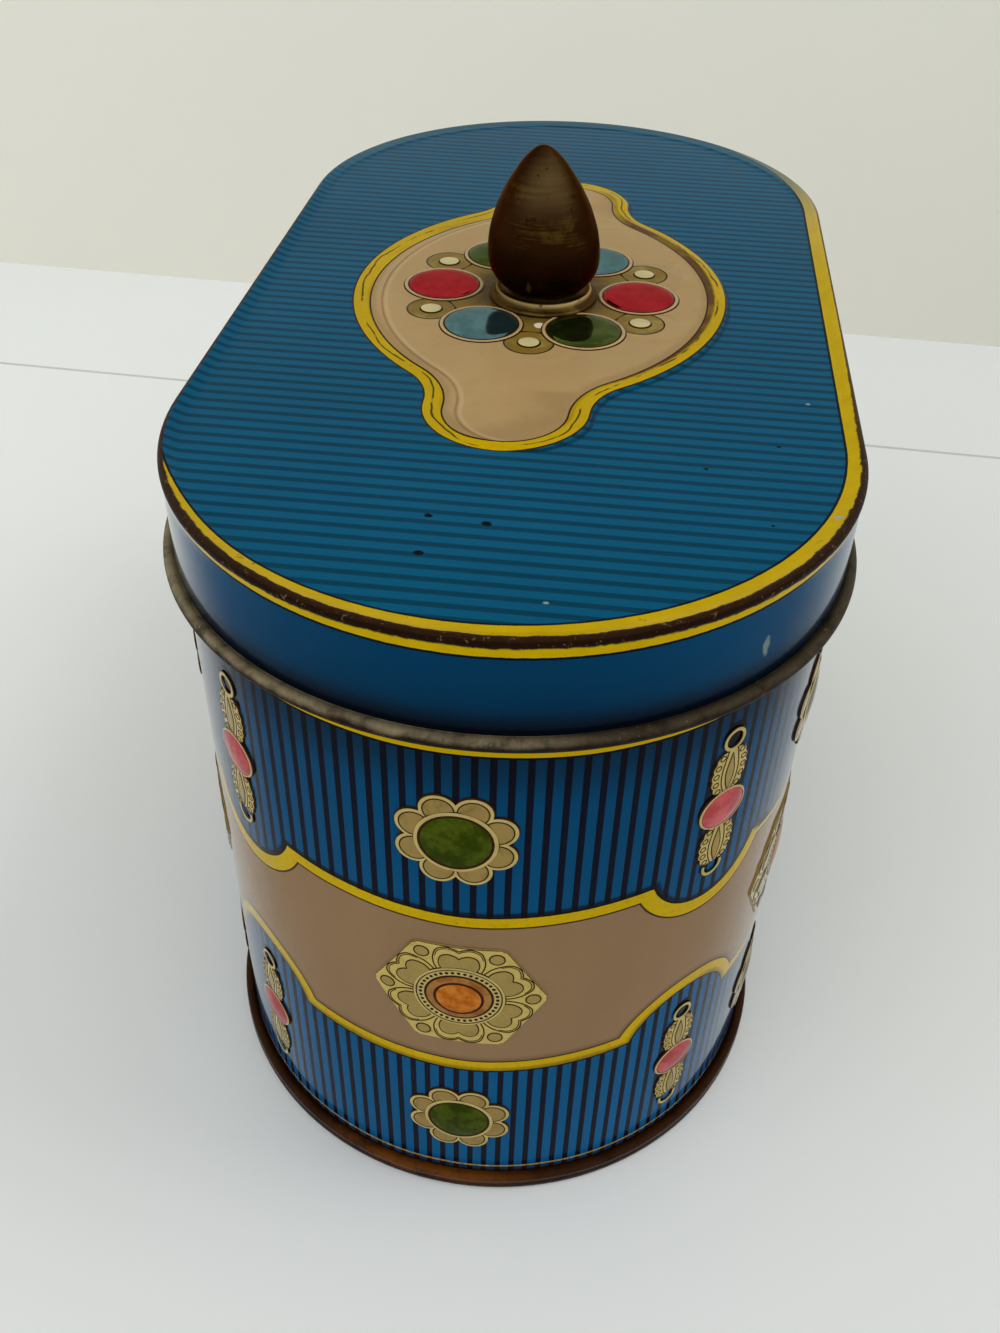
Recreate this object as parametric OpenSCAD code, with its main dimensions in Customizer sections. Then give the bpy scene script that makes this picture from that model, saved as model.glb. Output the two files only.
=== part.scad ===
// Obround tinplate canister with a slip lid and a brass bud knob.
// Origin on the table at the middle of the base, +Z up, long way along Y.

/* [Canister] */
// Width of the wall across its straight sides
body_width = 100; // [80:1:150]
// Length of the wall from round end to round end
body_length = 194; // [160:1:280]
// Height of the wall's top edge above the table
body_height = 124.6; // [115:0.1:180]
// Thickness of the tinplate
sheet = 0.35; // [0.25:0.05:0.5]
// Play between folded layers of tinplate
fold_gap = 0.05; // [0.02:0.01:0.1]
// Height of the hem turned in at the wall's top edge
hem_height = 3.5; // [2:0.1:6]
// Width of the lock seam inside the far end
lock_width = 5; // [3:0.5:8]

/* [Base] */
// Height of the seam that holds the base
seam_height = 3.4; // [3:0.1:5]
// How far that seam stands out from the wall
seam_depth = 1.85; // [1.6:0.05:2.5]
// Rounding of the seam's corners
seam_round = 0.6; // [0.3:0.05:0.7]
// Height of the base panel above the table
base_rise = 3; // [2.5:0.1:5]
// Distance of the stiffening rib from the base panel's edge
rib_inset = 8; // [6:0.5:15]
// Half the width of that rib, which is also how high it is rounded
rib_size = 1.2; // [0.8:0.1:2]

/* [Lid] */
// Gap between the wall and the lid's skirt
lid_gap = 0.65; // [0.4:0.05:1.2]
// Length of the skirt from its roll's middle to the lid's top
skirt_depth = 15.4; // [10:0.1:20]
// Radius of the rolled edge under the skirt
roll_radius = 1; // [0.9:0.05:1.6]
// Radius of the bead round the lid's top edge
rim_radius = 0.8; // [0.7:0.05:1.2]
// How far that bead stands out from the skirt
rim_proud = 0.3; // [0.2:0.05:0.35]
// How far that bead stands above the lid's flat top
rim_rise = 0.7; // [0.2:0.05:0.75]

/* [Raised panel on the lid] */
// How high the raised panel stands
panel_rise = 0.4; // [0.3:0.1:1.5]
// Half its width, across the lid
panel_half = 32.5; // [28:0.5:38]
// Radius of its bowed sides
side_radius = 46; // [42:1:60]
// Distance of each end lobe's middle from the panel's middle
lobe_distance = 43.7; // [42:0.1:50]
// Radius of the end lobes
lobe_radius = 12.6; // [10:0.1:14]
// Radius of the hollow between side and lobe
neck_radius = 12; // [8:0.5:14]
// Distance of its middle from the lid's middle, along the lid
panel_shift = 1.8; // [0:0.1:3]
// Distance of its middle from the lid's middle, across the lid
panel_aside = 0.8; // [0:0.1:2]

/* [Jewels on the lid] */
// Number of domed jewels round the knob
jewel_count = 6; // [5:1:7]
// Radius of the ring that they stand on
jewel_ring = 17.2; // [17:0.1:20]
// Radius of each jewel
jewel_radius = 6; // [5:0.1:7]
// Height of each jewel
jewel_rise = 1.5; // [1:0.1:2.5]
// Radius of the ring that the pearls stand on
pearl_ring = 20.6; // [20:0.1:24]
// Radius of each pearl, which is round
pearl_radius = 1.7; // [1:0.1:2]
// Distance of the jewels' middle from the lid's middle, along the lid
jewel_shift = 0.9; // [0:0.1:2]
// Distance of the jewels' middle from the lid's middle, across the lid
jewel_aside = 0.6; // [0:0.1:2]

/* [Raised ornament on the wall] */
// How far the ornament stands out from the wall
relief = 0.5; // [0.4:0.1:0.8]
// Distance round the wall from an end's middle to the nearest pendants
pendant_place = 39.5; // [36:0.5:42]
// How far round the wall the whole pattern sits off the end's middle
pattern_shift = -0.7; // [-2:0.1:2]
// Number of panels along each side, between those pendants and the far end's
side_panels = 3; // [2:1:4]
// Height of the lower flowers' middle
flower_low = 19.9; // [17:0.1:21]
// Depth of the upper flowers' middle below the wall's top edge
flower_drop = 34.9; // [34:0.1:37]
// Radius of the flowers' jewel
flower_eye = 5.2; // [4:0.1:6]
// Number of petals
petal_count = 8; // [6:1:10]
// Radius of the petals' rounded tips
petal_radius = 2.7; // [2:0.1:3]
// Distance of the petals' middle from the flower's middle
petal_ring = 6.3; // [5.5:0.1:6.6]
// Radius of the plaques, from middle to corner
plaque_radius = 13.8; // [12:0.1:15]
// Radius of the plaques' jewel
plaque_eye = 4.4; // [3:0.1:6]
// Height of the lower pendants' jewel
pendant_low = 24; // [23:0.1:26]
// Depth of the upper pendants' jewel below the wall's top edge
pendant_drop = 37.8; // [37:0.1:39]
// Radius of the pendants' jewel
pendant_eye = 3.6; // [3:0.1:4.5]
// Half the width of the pendants' leaves
leaf_half = 3.4; // [2.5:0.1:4]
// Length of the pendants' leaves
leaf_length = 8.4; // [7:0.1:9.5]
// Radius of the ring at the pendants' top and foot
link_radius = 2.1; // [1.5:0.1:2.5]

/* [Knob] */
// Distance of the knob from the lid's middle, towards the near end
knob_shift = 0.9; // [0:0.1:2]
// Largest radius of the bud
bud_radius = 9.5; // [8:0.1:11]
// Height of the bud
bud_height = 23.8; // [20:0.1:30]
// Height at which the bud is widest
bud_belly = 5; // [4:0.5:7]
// Radius of the bud's seat on its collar
bud_seat = 6.6; // [6:0.1:7.2]
// Rounding of the bud's tip
tip_radius = 1.9; // [1:0.1:2.2]
// Radius of the collar's foot
collar_radius = 9.2; // [8.5:0.1:10.5]
// Height of the collar
collar_height = 2.3; // [2:0.1:4]
// Radius of the stud
stud_radius = 2; // [1.5:0.1:2.5]
// Play round the stud in the lid, the collar and the washer
stud_gap = 0.2; // [0.1:0.05:0.3]
// Play between the stud and the threads that grip it
thread_gap = 0.05; // [0.03:0.01:0.1]
// How far the stud reaches up into the bud
stud_grip = 10; // [6:0.5:14]
// Radius of the washer under the lid
washer_radius = 6; // [5.5:0.1:8]
// Thickness of the washer
washer_thick = 0.8; // [0.6:0.1:1.5]
// Width of the nut across its flats
nut_width = 7; // [6.6:0.1:9]
// Thickness of the nut
nut_thick = 3; // [2.4:0.1:4]
// How far the stud stands out of the nut
stud_end = 1.5; // [0.5:0.1:3]

/* [Hidden] */
$fn = 96;

// Wall
wall_out = body_width / 2;
wall_in = wall_out - sheet;
straight = body_length - body_width;
wall_foot = sheet;

// Layers of the base seam, outwards from the inside
chuck_in = wall_in - fold_gap - sheet;
cover_hook = wall_out + fold_gap;
body_hook = cover_hook + sheet + fold_gap;
seam_out = wall_out + seam_depth;
hook_play = 0.3;
hook_top = seam_height - sheet - hook_play;
cover_foot = wall_foot + sheet + hook_play;

panel_level = base_rise + 2 * sheet;
rib_middle = chuck_in - rib_inset;

// Lid
lid_top = body_height + sheet;
skirt_in = wall_out + lid_gap;
skirt_out = skirt_in + sheet;
rim_middle = skirt_out + rim_proud - rim_radius;
rim_level = lid_top + rim_rise - rim_radius;
roll_middle = skirt_in + roll_radius;
roll_level = lid_top - skirt_depth;
panel_top = lid_top + panel_rise;
panel_under = panel_top - sheet;
panel_place = [-panel_aside, panel_shift];
jewel_place = [-jewel_aside, jewel_shift];

// Knob
knob_place = [0, -knob_shift];
collar_top = panel_top + collar_height;
bud_apex = bud_height + 0.35 * tip_radius;
tip_start = bud_height - tip_radius / 3;
stud_foot = panel_under - washer_thick - nut_thick - stud_end;
stud_head = collar_top + stud_grip;
stud_hole = stud_radius + stud_gap;
thread_hole = stud_radius + thread_gap;

// Stations of the ornament, as distances round the wall from the near end's middle
flower_high = body_height - flower_drop;
pendant_high = body_height - pendant_drop;
plaque_height = (flower_low + flower_high) / 2;
half_round = PI * wall_out + straight;
panel_pitch = (half_round - 2 * pendant_place) / side_panels;
pendant_stations = [
    for (panel = [0 : side_panels])
        for (way = [-1, 1])
            way * (pendant_place + panel * panel_pitch)
];
plaque_stations = concat([0, half_round], [
    for (panel = [0 : side_panels - 1])
        for (way = [-1, 1])
            way * (pendant_place + (panel + 0.5) * panel_pitch)
]);

// Obround outline with its round ends centred on Y
module obround(radius) {
    square([2 * radius, straight], center = true);
    for (end = [-1, 1])
        translate([0, end * straight / 2])
            circle(radius);
}

// Obround plate between two heights
module plate(radius, low, high) {
    translate([0, 0, low])
        linear_extrude(high - low)
            obround(radius);
}

// Obround band between two heights
module band(outside, inside, low, high) {
    translate([0, 0, low])
        linear_extrude(high - low)
            difference() {
                obround(outside);
                obround(inside);
            }
}

// Profile swept round the obround: x is the distance from its centre line, y is the height
module swept() {
    for (turn = [0, 180])
        rotate([0, 0, turn]) {
            translate([0, straight / 2, 0])
                rotate_extrude(angle = 180)
                    children();
            translate([0, straight / 2, 0])
                rotate([90, 0, 0])
                    linear_extrude(straight)
                        children();
        }
}

// Rectangle between two corners, with round corners
module rounded_box(left, right, low, high, round) {
    translate([left + round, low])
        square([right - left - 2 * round, high - low]);
    translate([left, low + round])
        square([right - left, high - low - 2 * round]);
    for (x = [left + round, right - round])
        for (y = [low + round, high - round])
            translate([x, y])
                circle(round);
}

// Rectangle between two corners
module box_2d(left, right, low, high) {
    translate([left, low])
        square([right - left, high - low]);
}

// Stands a shape up on the wall at a distance round it and at a height
module on_wall(place, height) {
    shifted = place + pattern_shift;
    whole = 2 * half_round;
    along = shifted - whole * floor((shifted + half_round) / whole);
    side = sign(along);
    arc = PI * wall_out / 2;
    reach = abs(along);
    turn = reach < arc ? reach : reach < arc + straight ? arc : reach - straight;
    slide = min(max(reach - arc, 0), straight);
    translate([0, slide - straight / 2, height])
        rotate([0, 0, side * turn / wall_out * 180 / PI])
            translate([0, -wall_out, 0])
                rotate([90, 0, 0])
                    children();
}

// Flat ornament raised on the wall, following the wall's curve
module raised(place, height) {
    intersection() {
        band(wall_out + relief, wall_out - sheet / 2, 0, body_height);
        on_wall(place, height)
            translate([0, 0, -wall_out / 2])
                linear_extrude(wall_out)
                    children();
    }
}

// Domed jewel of a radius and a height, on the plane at its foot
module dome(radius, rise) {
    ball = (radius * radius + rise * rise) / (2 * rise);
    intersection() {
        translate([0, 0, rise - ball])
            sphere(ball);
        cylinder(h = rise + 1, r = radius);
    }
}

module flower(place, height) {
    raised(place, height) {
        circle(petal_ring);
        for (petal = [0 : petal_count - 1])
            rotate((petal + 0.5) * 360 / petal_count)
                translate([petal_ring, 0])
                    circle(petal_radius);
    }
    on_wall(place, height)
        dome(flower_eye, 2 * relief);
}

module plaque(place) {
    raised(place, plaque_height)
        circle(plaque_radius, $fn = 6);
    on_wall(place, plaque_height)
        dome(plaque_eye, 2 * relief);
}

module pendant(place, height) {
    leaf_middle = pendant_eye + leaf_length / 2 - 0.5;
    link_middle = leaf_middle + leaf_length / 2 + link_radius - 0.5;
    raised(place, height) {
        circle(pendant_eye);
        for (way = [-1, 1]) {
            rounded_box(-leaf_half, leaf_half, way * leaf_middle - leaf_length / 2,
                        way * leaf_middle + leaf_length / 2, leaf_half / 2);
            translate([0, way * link_middle])
                circle(link_radius);
        }
    }
    on_wall(place, height)
        dome(pendant_eye, 2 * relief);
}

module body_wall() {
    color("steelblue") {
        band(wall_out, wall_in, wall_foot, body_height);
        band(wall_out, wall_in - sheet, body_height - hem_height, body_height);
        band(body_hook + sheet, wall_in, wall_foot, wall_foot + sheet);
        band(body_hook + sheet, body_hook, wall_foot, hook_top);
        lock_seam();
        for (place = plaque_stations) {
            plaque(place);
            flower(place, flower_low);
            flower(place, flower_high);
        }
        for (place = pendant_stations)
            for (height = [pendant_low, pendant_high])
                pendant(place, height);
    }
}

// Folded layers of the seam that closes the wall, inside its far end
module lock_seam() {
    intersection() {
        band(wall_in + sheet / 2, wall_in - 2 * sheet, panel_level, body_height - hem_height);
        translate([-lock_width / 2, 0, 0])
            cube([lock_width, body_length, body_height]);
    }
}

// Base panel's sheet from its middle line out, with the stiffening rib pressed up
module base_profile() {
    difference() {
        union() {
            box_2d(0, chuck_in + sheet / 2, base_rise, base_rise + sheet);
            translate([rib_middle, base_rise])
                circle(rib_size);
        }
        translate([rib_middle, base_rise])
            circle(rib_size - sheet);
        box_2d(rib_middle - 2 * rib_size, rib_middle + 2 * rib_size, 0, base_rise);
    }
}

module base_plate() {
    color("saddlebrown")
        swept() {
            difference() {
                rounded_box(chuck_in, seam_out, 0, seam_height, seam_round);
                box_2d(chuck_in + sheet, seam_out - sheet, sheet, seam_height - sheet);
                box_2d(chuck_in + sheet, cover_hook, sheet, 2 * seam_height);
                box_2d(0, cover_hook, base_rise + sheet, 2 * seam_height);
            }
            box_2d(cover_hook, cover_hook + sheet, cover_foot, seam_height - sheet / 2);
            base_profile();
        }
}

// Outline of the raised panel, drawn in by an inset
module panel_outline(inset) {
    big = side_radius - inset;
    small = lobe_radius - inset;
    hollow = neck_radius + inset;
    bow = [panel_half - side_radius, 0];
    lobe = [0, lobe_distance];
    // The hollow's circle touches the bowed side and the lobe
    apart = norm(lobe - bow);
    along = (lobe - bow) / apart;
    reach = (pow(big + hollow, 2) - pow(small + hollow, 2) + pow(apart, 2)) / (2 * apart);
    off = sqrt(pow(big + hollow, 2) - pow(reach, 2));
    neck = bow + reach * along + off * [along.y, -along.x];
    side_end = bow + (neck - bow) * big / (big + hollow);
    translate(panel_place) {
        intersection() {
            translate(bow)
                circle(big);
            translate(-bow)
                circle(big);
        }
        for (end = [0, 1])
            mirror([0, end]) {
                translate(lobe)
                    circle(small);
                for (side = [0, 1])
                    mirror([side, 0])
                        difference() {
                            polygon([[0, 0], side_end, neck, lobe]);
                            translate(neck)
                                circle(hollow);
                        }
            }
    }
}

// Repeats a shape evenly round the jewels' ring, the first at an angle
module ring_of(count, radius, first) {
    for (item = [0 : count - 1])
        translate(jewel_place)
            rotate(first + item * 360 / count)
                translate([radius, 0])
                    children();
}

// Lid's sheet from its edge to the skirt's roll
module skirt_profile() {
    difference() {
        union() {
            box_2d(rim_middle - rim_radius, rim_middle, body_height, lid_top);
            box_2d(skirt_in, skirt_out, roll_level, rim_level);
            difference() {
                translate([rim_middle, rim_level])
                    circle(rim_radius);
                box_2d(rim_middle - 2 * rim_radius, skirt_in, rim_level - 2 * rim_radius, body_height);
            }
        }
        translate([rim_middle, rim_level])
            circle(rim_radius - sheet);
    }
    difference() {
        translate([roll_middle, roll_level])
            circle(roll_radius);
        translate([roll_middle, roll_level])
            circle(roll_radius - sheet);
        box_2d(skirt_in - sheet, roll_middle - roll_radius / 3, roll_level, roll_level + 2 * roll_radius);
    }
}

module lid_shell() {
    color("steelblue")
        difference() {
            union() {
                swept()
                    skirt_profile();
                plate(rim_middle - rim_radius + sheet / 2, body_height, lid_top);
                translate([0, 0, body_height])
                    linear_extrude(panel_top - body_height)
                        panel_outline(0);
                translate([0, 0, panel_top]) {
                    ring_of(jewel_count, jewel_ring, 0)
                        dome(jewel_radius, jewel_rise);
                    ring_of(jewel_count, pearl_ring, 180 / jewel_count)
                        dome(pearl_radius, pearl_radius / 2);
                }
            }
            translate([0, 0, body_height - sheet])
                linear_extrude(panel_under - body_height + sheet)
                    panel_outline(sheet);
            translate([0, 0, panel_under])
                ring_of(jewel_count, jewel_ring, 0)
                    dome(jewel_radius - sheet, jewel_rise);
            on_knob(0)
                cylinder(h = 2 * panel_top, r = stud_hole);
        }
}

// Moves a shape to the knob's middle at a height
module on_knob(height) {
    translate([knob_place.x, knob_place.y, height])
        children();
}

// Radius of the bud at a height above its seat, for sides that would meet at its apex
function bud_at(height) =
    height < bud_belly
        ? bud_seat + (bud_radius - bud_seat) * sin(90 * sqrt(height / bud_belly))
        : bud_radius * pow(1 - pow((height - bud_belly) / (bud_apex - bud_belly), 1.9), 0.92);

module finial() {
    steps = 36;
    color("#4a3420")
        on_knob(collar_top)
            difference() {
                union() {
                    rotate_extrude()
                        polygon(concat([[0, 0]], [
                            for (step = [0 : steps])
                                let (height = tip_start * step / steps)
                                    [bud_at(height), height]
                        ], [[0, tip_start]]));
                    translate([0, 0, bud_height - tip_radius])
                        sphere(tip_radius);
                }
                translate([0, 0, -1])
                    cylinder(h = stud_grip + 1, r = thread_hole);
            }
}

module finial_collar() {
    waist = (collar_radius + bud_seat) / 2;
    foot_rim = collar_height / 4;
    color("darkgoldenrod")
        on_knob(panel_top)
            rotate_extrude()
                difference() {
                    union() {
                        box_2d(stud_hole, collar_radius, 0, foot_rim);
                        polygon([[stud_hole, 0], [collar_radius - foot_rim, 0],
                                 [collar_radius - foot_rim, foot_rim], [waist, collar_height * 0.7],
                                 [bud_seat, collar_height], [stud_hole, collar_height]]);
                        translate([waist - foot_rim / 2, collar_height * 0.7])
                            circle(foot_rim / 2);
                    }
                    box_2d(0, collar_radius, -1, 0);
                }
}

module knob_stud() {
    color("silver")
        on_knob(stud_foot)
            cylinder(h = stud_head - stud_foot, r = stud_radius);
}

module stud_washer() {
    color("silver")
        on_knob(panel_under - washer_thick)
            difference() {
                cylinder(h = washer_thick, r = washer_radius);
                translate([0, 0, -1])
                    cylinder(h = washer_thick + 2, r = stud_hole);
            }
}

module stud_nut() {
    color("silver")
        on_knob(stud_foot + stud_end)
            difference() {
                cylinder(h = nut_thick, r = nut_width / sqrt(3), $fn = 6);
                translate([0, 0, -1])
                    cylinder(h = nut_thick + 2, r = thread_hole);
            }
}

body_wall();
base_plate();
lid_shell();
finial();
finial_collar();
knob_stud();
stud_washer();
stud_nut();
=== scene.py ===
"""Looks of an obround tinplate canister with a slip lid and a brass bud knob.

Lengths are in millimetres until a mesh is written, which is in metres. Pieces that follow
the wall are modelled as flat blanks, as the printed sheet was, with X along the sheet, Y
into the wall and Z up. A Geometry Nodes tree then rolls each blank round the canister.
In the materials, masks and shares run from 0 to 1 and noise scales are per millimetre.
"""
import logging
import math
from collections.abc import Mapping, Sequence
from dataclasses import dataclass, field
from enum import Enum

import bmesh
import bpy
from mathutils import Matrix, Vector
from mathutils.geometry import delaunay_2d_cdt


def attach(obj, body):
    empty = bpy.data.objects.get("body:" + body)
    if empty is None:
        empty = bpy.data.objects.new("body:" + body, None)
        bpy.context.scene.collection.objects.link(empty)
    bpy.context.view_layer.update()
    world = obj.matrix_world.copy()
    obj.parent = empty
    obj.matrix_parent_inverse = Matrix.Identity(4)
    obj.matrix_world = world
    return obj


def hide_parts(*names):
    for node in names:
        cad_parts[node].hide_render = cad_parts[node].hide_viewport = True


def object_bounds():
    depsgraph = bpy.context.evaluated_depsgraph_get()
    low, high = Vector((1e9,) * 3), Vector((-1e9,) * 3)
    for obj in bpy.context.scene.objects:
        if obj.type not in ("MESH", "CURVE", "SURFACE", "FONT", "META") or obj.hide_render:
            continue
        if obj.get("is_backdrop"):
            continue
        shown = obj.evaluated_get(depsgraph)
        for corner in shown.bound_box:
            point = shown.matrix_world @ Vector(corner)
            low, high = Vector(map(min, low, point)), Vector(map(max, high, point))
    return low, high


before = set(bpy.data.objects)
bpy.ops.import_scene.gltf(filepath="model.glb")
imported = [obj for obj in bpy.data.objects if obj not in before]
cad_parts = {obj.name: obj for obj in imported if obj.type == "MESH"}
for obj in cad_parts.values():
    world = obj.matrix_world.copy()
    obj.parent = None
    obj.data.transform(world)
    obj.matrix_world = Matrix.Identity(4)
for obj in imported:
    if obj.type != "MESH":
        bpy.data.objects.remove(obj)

MM = 0.001
PRESSED = 0.65
WALL_WAVER = 0.35
BASE_WAVER = 0.12
WHOLE_CELLS = 1000.0
ORNAMENT_SMOOTH = 34.0
SHEET_SMOOTH = 40.0
WELD = 0.002
ROLL_WELD = 0.004
EXACT = 1e-5
SAME = 0.1
log = logging.getLogger("canister")

Point = tuple[float, float]
Place = tuple[float, float, float]
Colour = tuple[float, float, float]


def paint(red: int, green: int, blue: int) -> Colour:
    """Linear colour of an sRGB one from 0 to 255."""
    def linear(part: int) -> float:
        """One channel, made linear."""
        share = part / 255
        return share / 12.92 if share <= 0.04045 else ((share + 0.055) / 1.055) ** 2.4
    return linear(red), linear(green), linear(blue)


class Body(Enum):
    """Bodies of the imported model."""
    CANISTER = "canister"
    LID = "lid"


class Slot(Enum):
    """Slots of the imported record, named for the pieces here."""
    WALL = "printed_tin"
    BASE = "base_tin"
    LID = "printed_tin_lid"
    BUD = "dark_brass"
    COLLAR = "worn_brass"


@dataclass(frozen=True)
class Form:
    """Sizes that several pieces share. Offsets are measured outwards from the wall."""
    radius: float = 50.0
    straight: float = 94.0
    shift: float = -0.7
    sheet: float = 0.35
    wall_top: float = 124.6
    lid_top: float = 124.95
    crest: float = 125.65
    panel_top: float = 125.35
    panel_place: Point = (-0.8, 2.2)
    jewel_place: Point = (-0.6, 0.9)
    knob_place: Point = (0.0, -0.9)
    pendant_place: float = 39.5
    side_panels: int = 3

    @property
    def arc(self) -> float:
        """Length of a quarter of the round ends."""
        return math.pi * self.radius / 2

    @property
    def half_round(self) -> float:
        """Distance round the wall from the near end's middle to the far end's middle."""
        return 2 * self.arc + self.straight

    @property
    def panel_pitch(self) -> float:
        """Distance between the pendants along the sides."""
        return (self.half_round - 2 * self.pendant_place) / self.side_panels

    def outline(self, offset: float, count: int) -> list[Point]:
        """Obround seen from above, anticlockwise.

        Args:
            offset: distance of the outline outside the wall.
            count: points on each round end; the sides get points at about the same pitch.

        Returns:
            The outline's points.
        """
        reach = self.radius + offset
        ends = [math.pi * step / count for step in range(count)]
        rungs = [self.straight * step / (count - 8) for step in range(count - 8)]
        half = self.straight / 2
        points = [(reach * math.cos(turn), half + reach * math.sin(turn)) for turn in ends]
        points += [(-reach, half - rung) for rung in rungs]
        points += [(-reach * math.cos(turn), -half - reach * math.sin(turn)) for turn in ends]
        points += [(reach, rung - half) for rung in rungs]
        return points


FORM = Form()


class Wire:
    """Output of a node that Python's operators work on."""

    def __init__(self, net: "Net", socket: bpy.types.NodeSocket) -> None:
        """Keeps the net and the socket."""
        self.net = net
        self.socket = socket

    def __add__(self, other: "Wire | float") -> "Wire":
        """This and another."""
        return self.net.math("ADD", self, other)

    def __sub__(self, other: "Wire | float") -> "Wire":
        """This less another."""
        return self.net.math("SUBTRACT", self, other)

    def __rsub__(self, other: float) -> "Wire":
        """A number less this."""
        return self.net.math("SUBTRACT", other, self)

    def __mul__(self, other: "Wire | float") -> "Wire":
        """This times another."""
        return self.net.math("MULTIPLY", self, other)

    def __truediv__(self, other: "Wire | float") -> "Wire":
        """This over another."""
        return self.net.math("DIVIDE", self, other)

    def __rtruediv__(self, other: float) -> "Wire":
        """A number over this."""
        return self.net.math("DIVIDE", other, self)

    def __neg__(self) -> "Wire":
        """This with its sign turned."""
        return self.net.math("MULTIPLY", self, -1.0)

    def __abs__(self) -> "Wire":
        """This without its sign."""
        return self.net.math("ABSOLUTE", self)

    __radd__ = __add__
    __rmul__ = __mul__


class Net:
    """Node tree that is being built, of a material or of geometry."""

    def __init__(self, tree: bpy.types.NodeTree) -> None:
        """Keeps the tree."""
        self.tree = tree

    def node(
        self,
        kind: str,
        settings: Mapping[str, object] | None = None,
        values: Mapping[int | str, object] | None = None,
    ) -> bpy.types.Node:
        """Adds a node.

        Args:
            kind: the node's type.
            settings: its properties, which are set first.
            values: a number, colour or wire for each socket, by name or by place.

        Returns:
            The node.
        """
        node = self.tree.nodes.new(kind)
        for name, setting in (settings or {}).items():
            setattr(node, name, setting)
        for name, value in (values or {}).items():
            socket = node.inputs[name]
            if isinstance(value, Wire):
                self.tree.links.new(value.socket, socket)
            elif isinstance(value, tuple) and socket.type == "RGBA":
                socket.default_value = (*value, 1.0)
            else:
                socket.default_value = value
        return node

    def wire(
        self,
        kind: str,
        settings: Mapping[str, object] | None = None,
        values: Mapping[int | str, object] | None = None,
        output: int | str = 0,
    ) -> Wire:
        """Adds a node as `node` does, and gives one of its outputs."""
        return Wire(self, self.node(kind, settings, values).outputs[output])

    def math(self, operation: str, *terms: Wire | float) -> Wire:
        """A Math node on up to three terms."""
        return self.wire("ShaderNodeMath", {"operation": operation}, dict(enumerate(terms)))

    def least(self, first: Wire, *others: Wire | float) -> Wire:
        """The least of several values."""
        for other in others:
            first = self.math("MINIMUM", first, other)
        return first

    def most(self, first: Wire, *others: Wire | float) -> Wire:
        """The greatest of several values."""
        for other in others:
            first = self.math("MAXIMUM", first, other)
        return first

    def span(self, *parts: Wire) -> Wire:
        """Length of a vector that is given by its parts."""
        total = parts[0] * parts[0]
        for part in parts[1:]:
            total = total + part * part
        return self.math("SQRT", total)

    def rise(self, value: Wire, low: float, high: float) -> Wire:
        """Goes smoothly from 0 at low to 1 at high."""
        return self.wire(
            "ShaderNodeMapRange",
            {"interpolation_type": "SMOOTHSTEP"},
            {"Value": value, "From Min": low, "From Max": high},
        )

    def within(self, value: Wire, low: float, high: float, soft: float) -> Wire:
        """Goes to 1 between low and high, over a soft edge at each."""
        inner = self.rise(value, low - soft / 2, low + soft / 2)
        return inner * self.rise(value, high + soft / 2, high - soft / 2)

    def vector(self, *parts: Wire | float) -> Wire:
        """Vector of three parts."""
        return self.wire("ShaderNodeCombineXYZ", None, dict(enumerate(parts)))

    def parts(self, vector: Wire) -> tuple[Wire, Wire, Wire]:
        """The three parts of a vector."""
        node = self.node("ShaderNodeSeparateXYZ", None, {0: vector})
        return tuple(Wire(self, output) for output in node.outputs)

    def scaled(self, vector: Wire, factor: Place) -> Wire:
        """Vector with each part multiplied."""
        return self.wire(
            "ShaderNodeVectorMath", {"operation": "MULTIPLY"}, {0: vector, 1: factor}
        )

    def noise(self, where: Wire, scale: float, detail: float = 3.0, rough: float = 0.55) -> Wire:
        """Noise from 0 to 1 with its middle at 0.5."""
        values = {"Vector": where, "Scale": scale, "Detail": detail, "Roughness": rough}
        return self.wire("ShaderNodeTexNoise", None, values)

    def blend(self, share: Wire | float, first: Wire | Colour, second: Wire | Colour) -> Wire:
        """Colour between two others."""
        settings = {"data_type": "RGBA"}
        return self.wire("ShaderNodeMix", settings, {0: share, 6: first, 7: second}, 2)

    def coats(self, colour: Wire | Colour, *coats: tuple[Wire, Wire | Colour]) -> Wire:
        """Colour under several coats, each given by its share and its colour."""
        for share, coat in coats:
            colour = self.blend(share, colour, coat)
        return colour

    def tint(self, colour: Wire | Colour, amount: Wire) -> Wire:
        """Colour made darker or lighter by an amount round 1."""
        grey = self.vector(amount, amount, amount)
        settings = {"data_type": "RGBA", "blend_type": "MULTIPLY"}
        return self.wire("ShaderNodeMix", settings, {0: 1.0, 6: colour, 7: grey}, 2)


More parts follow.
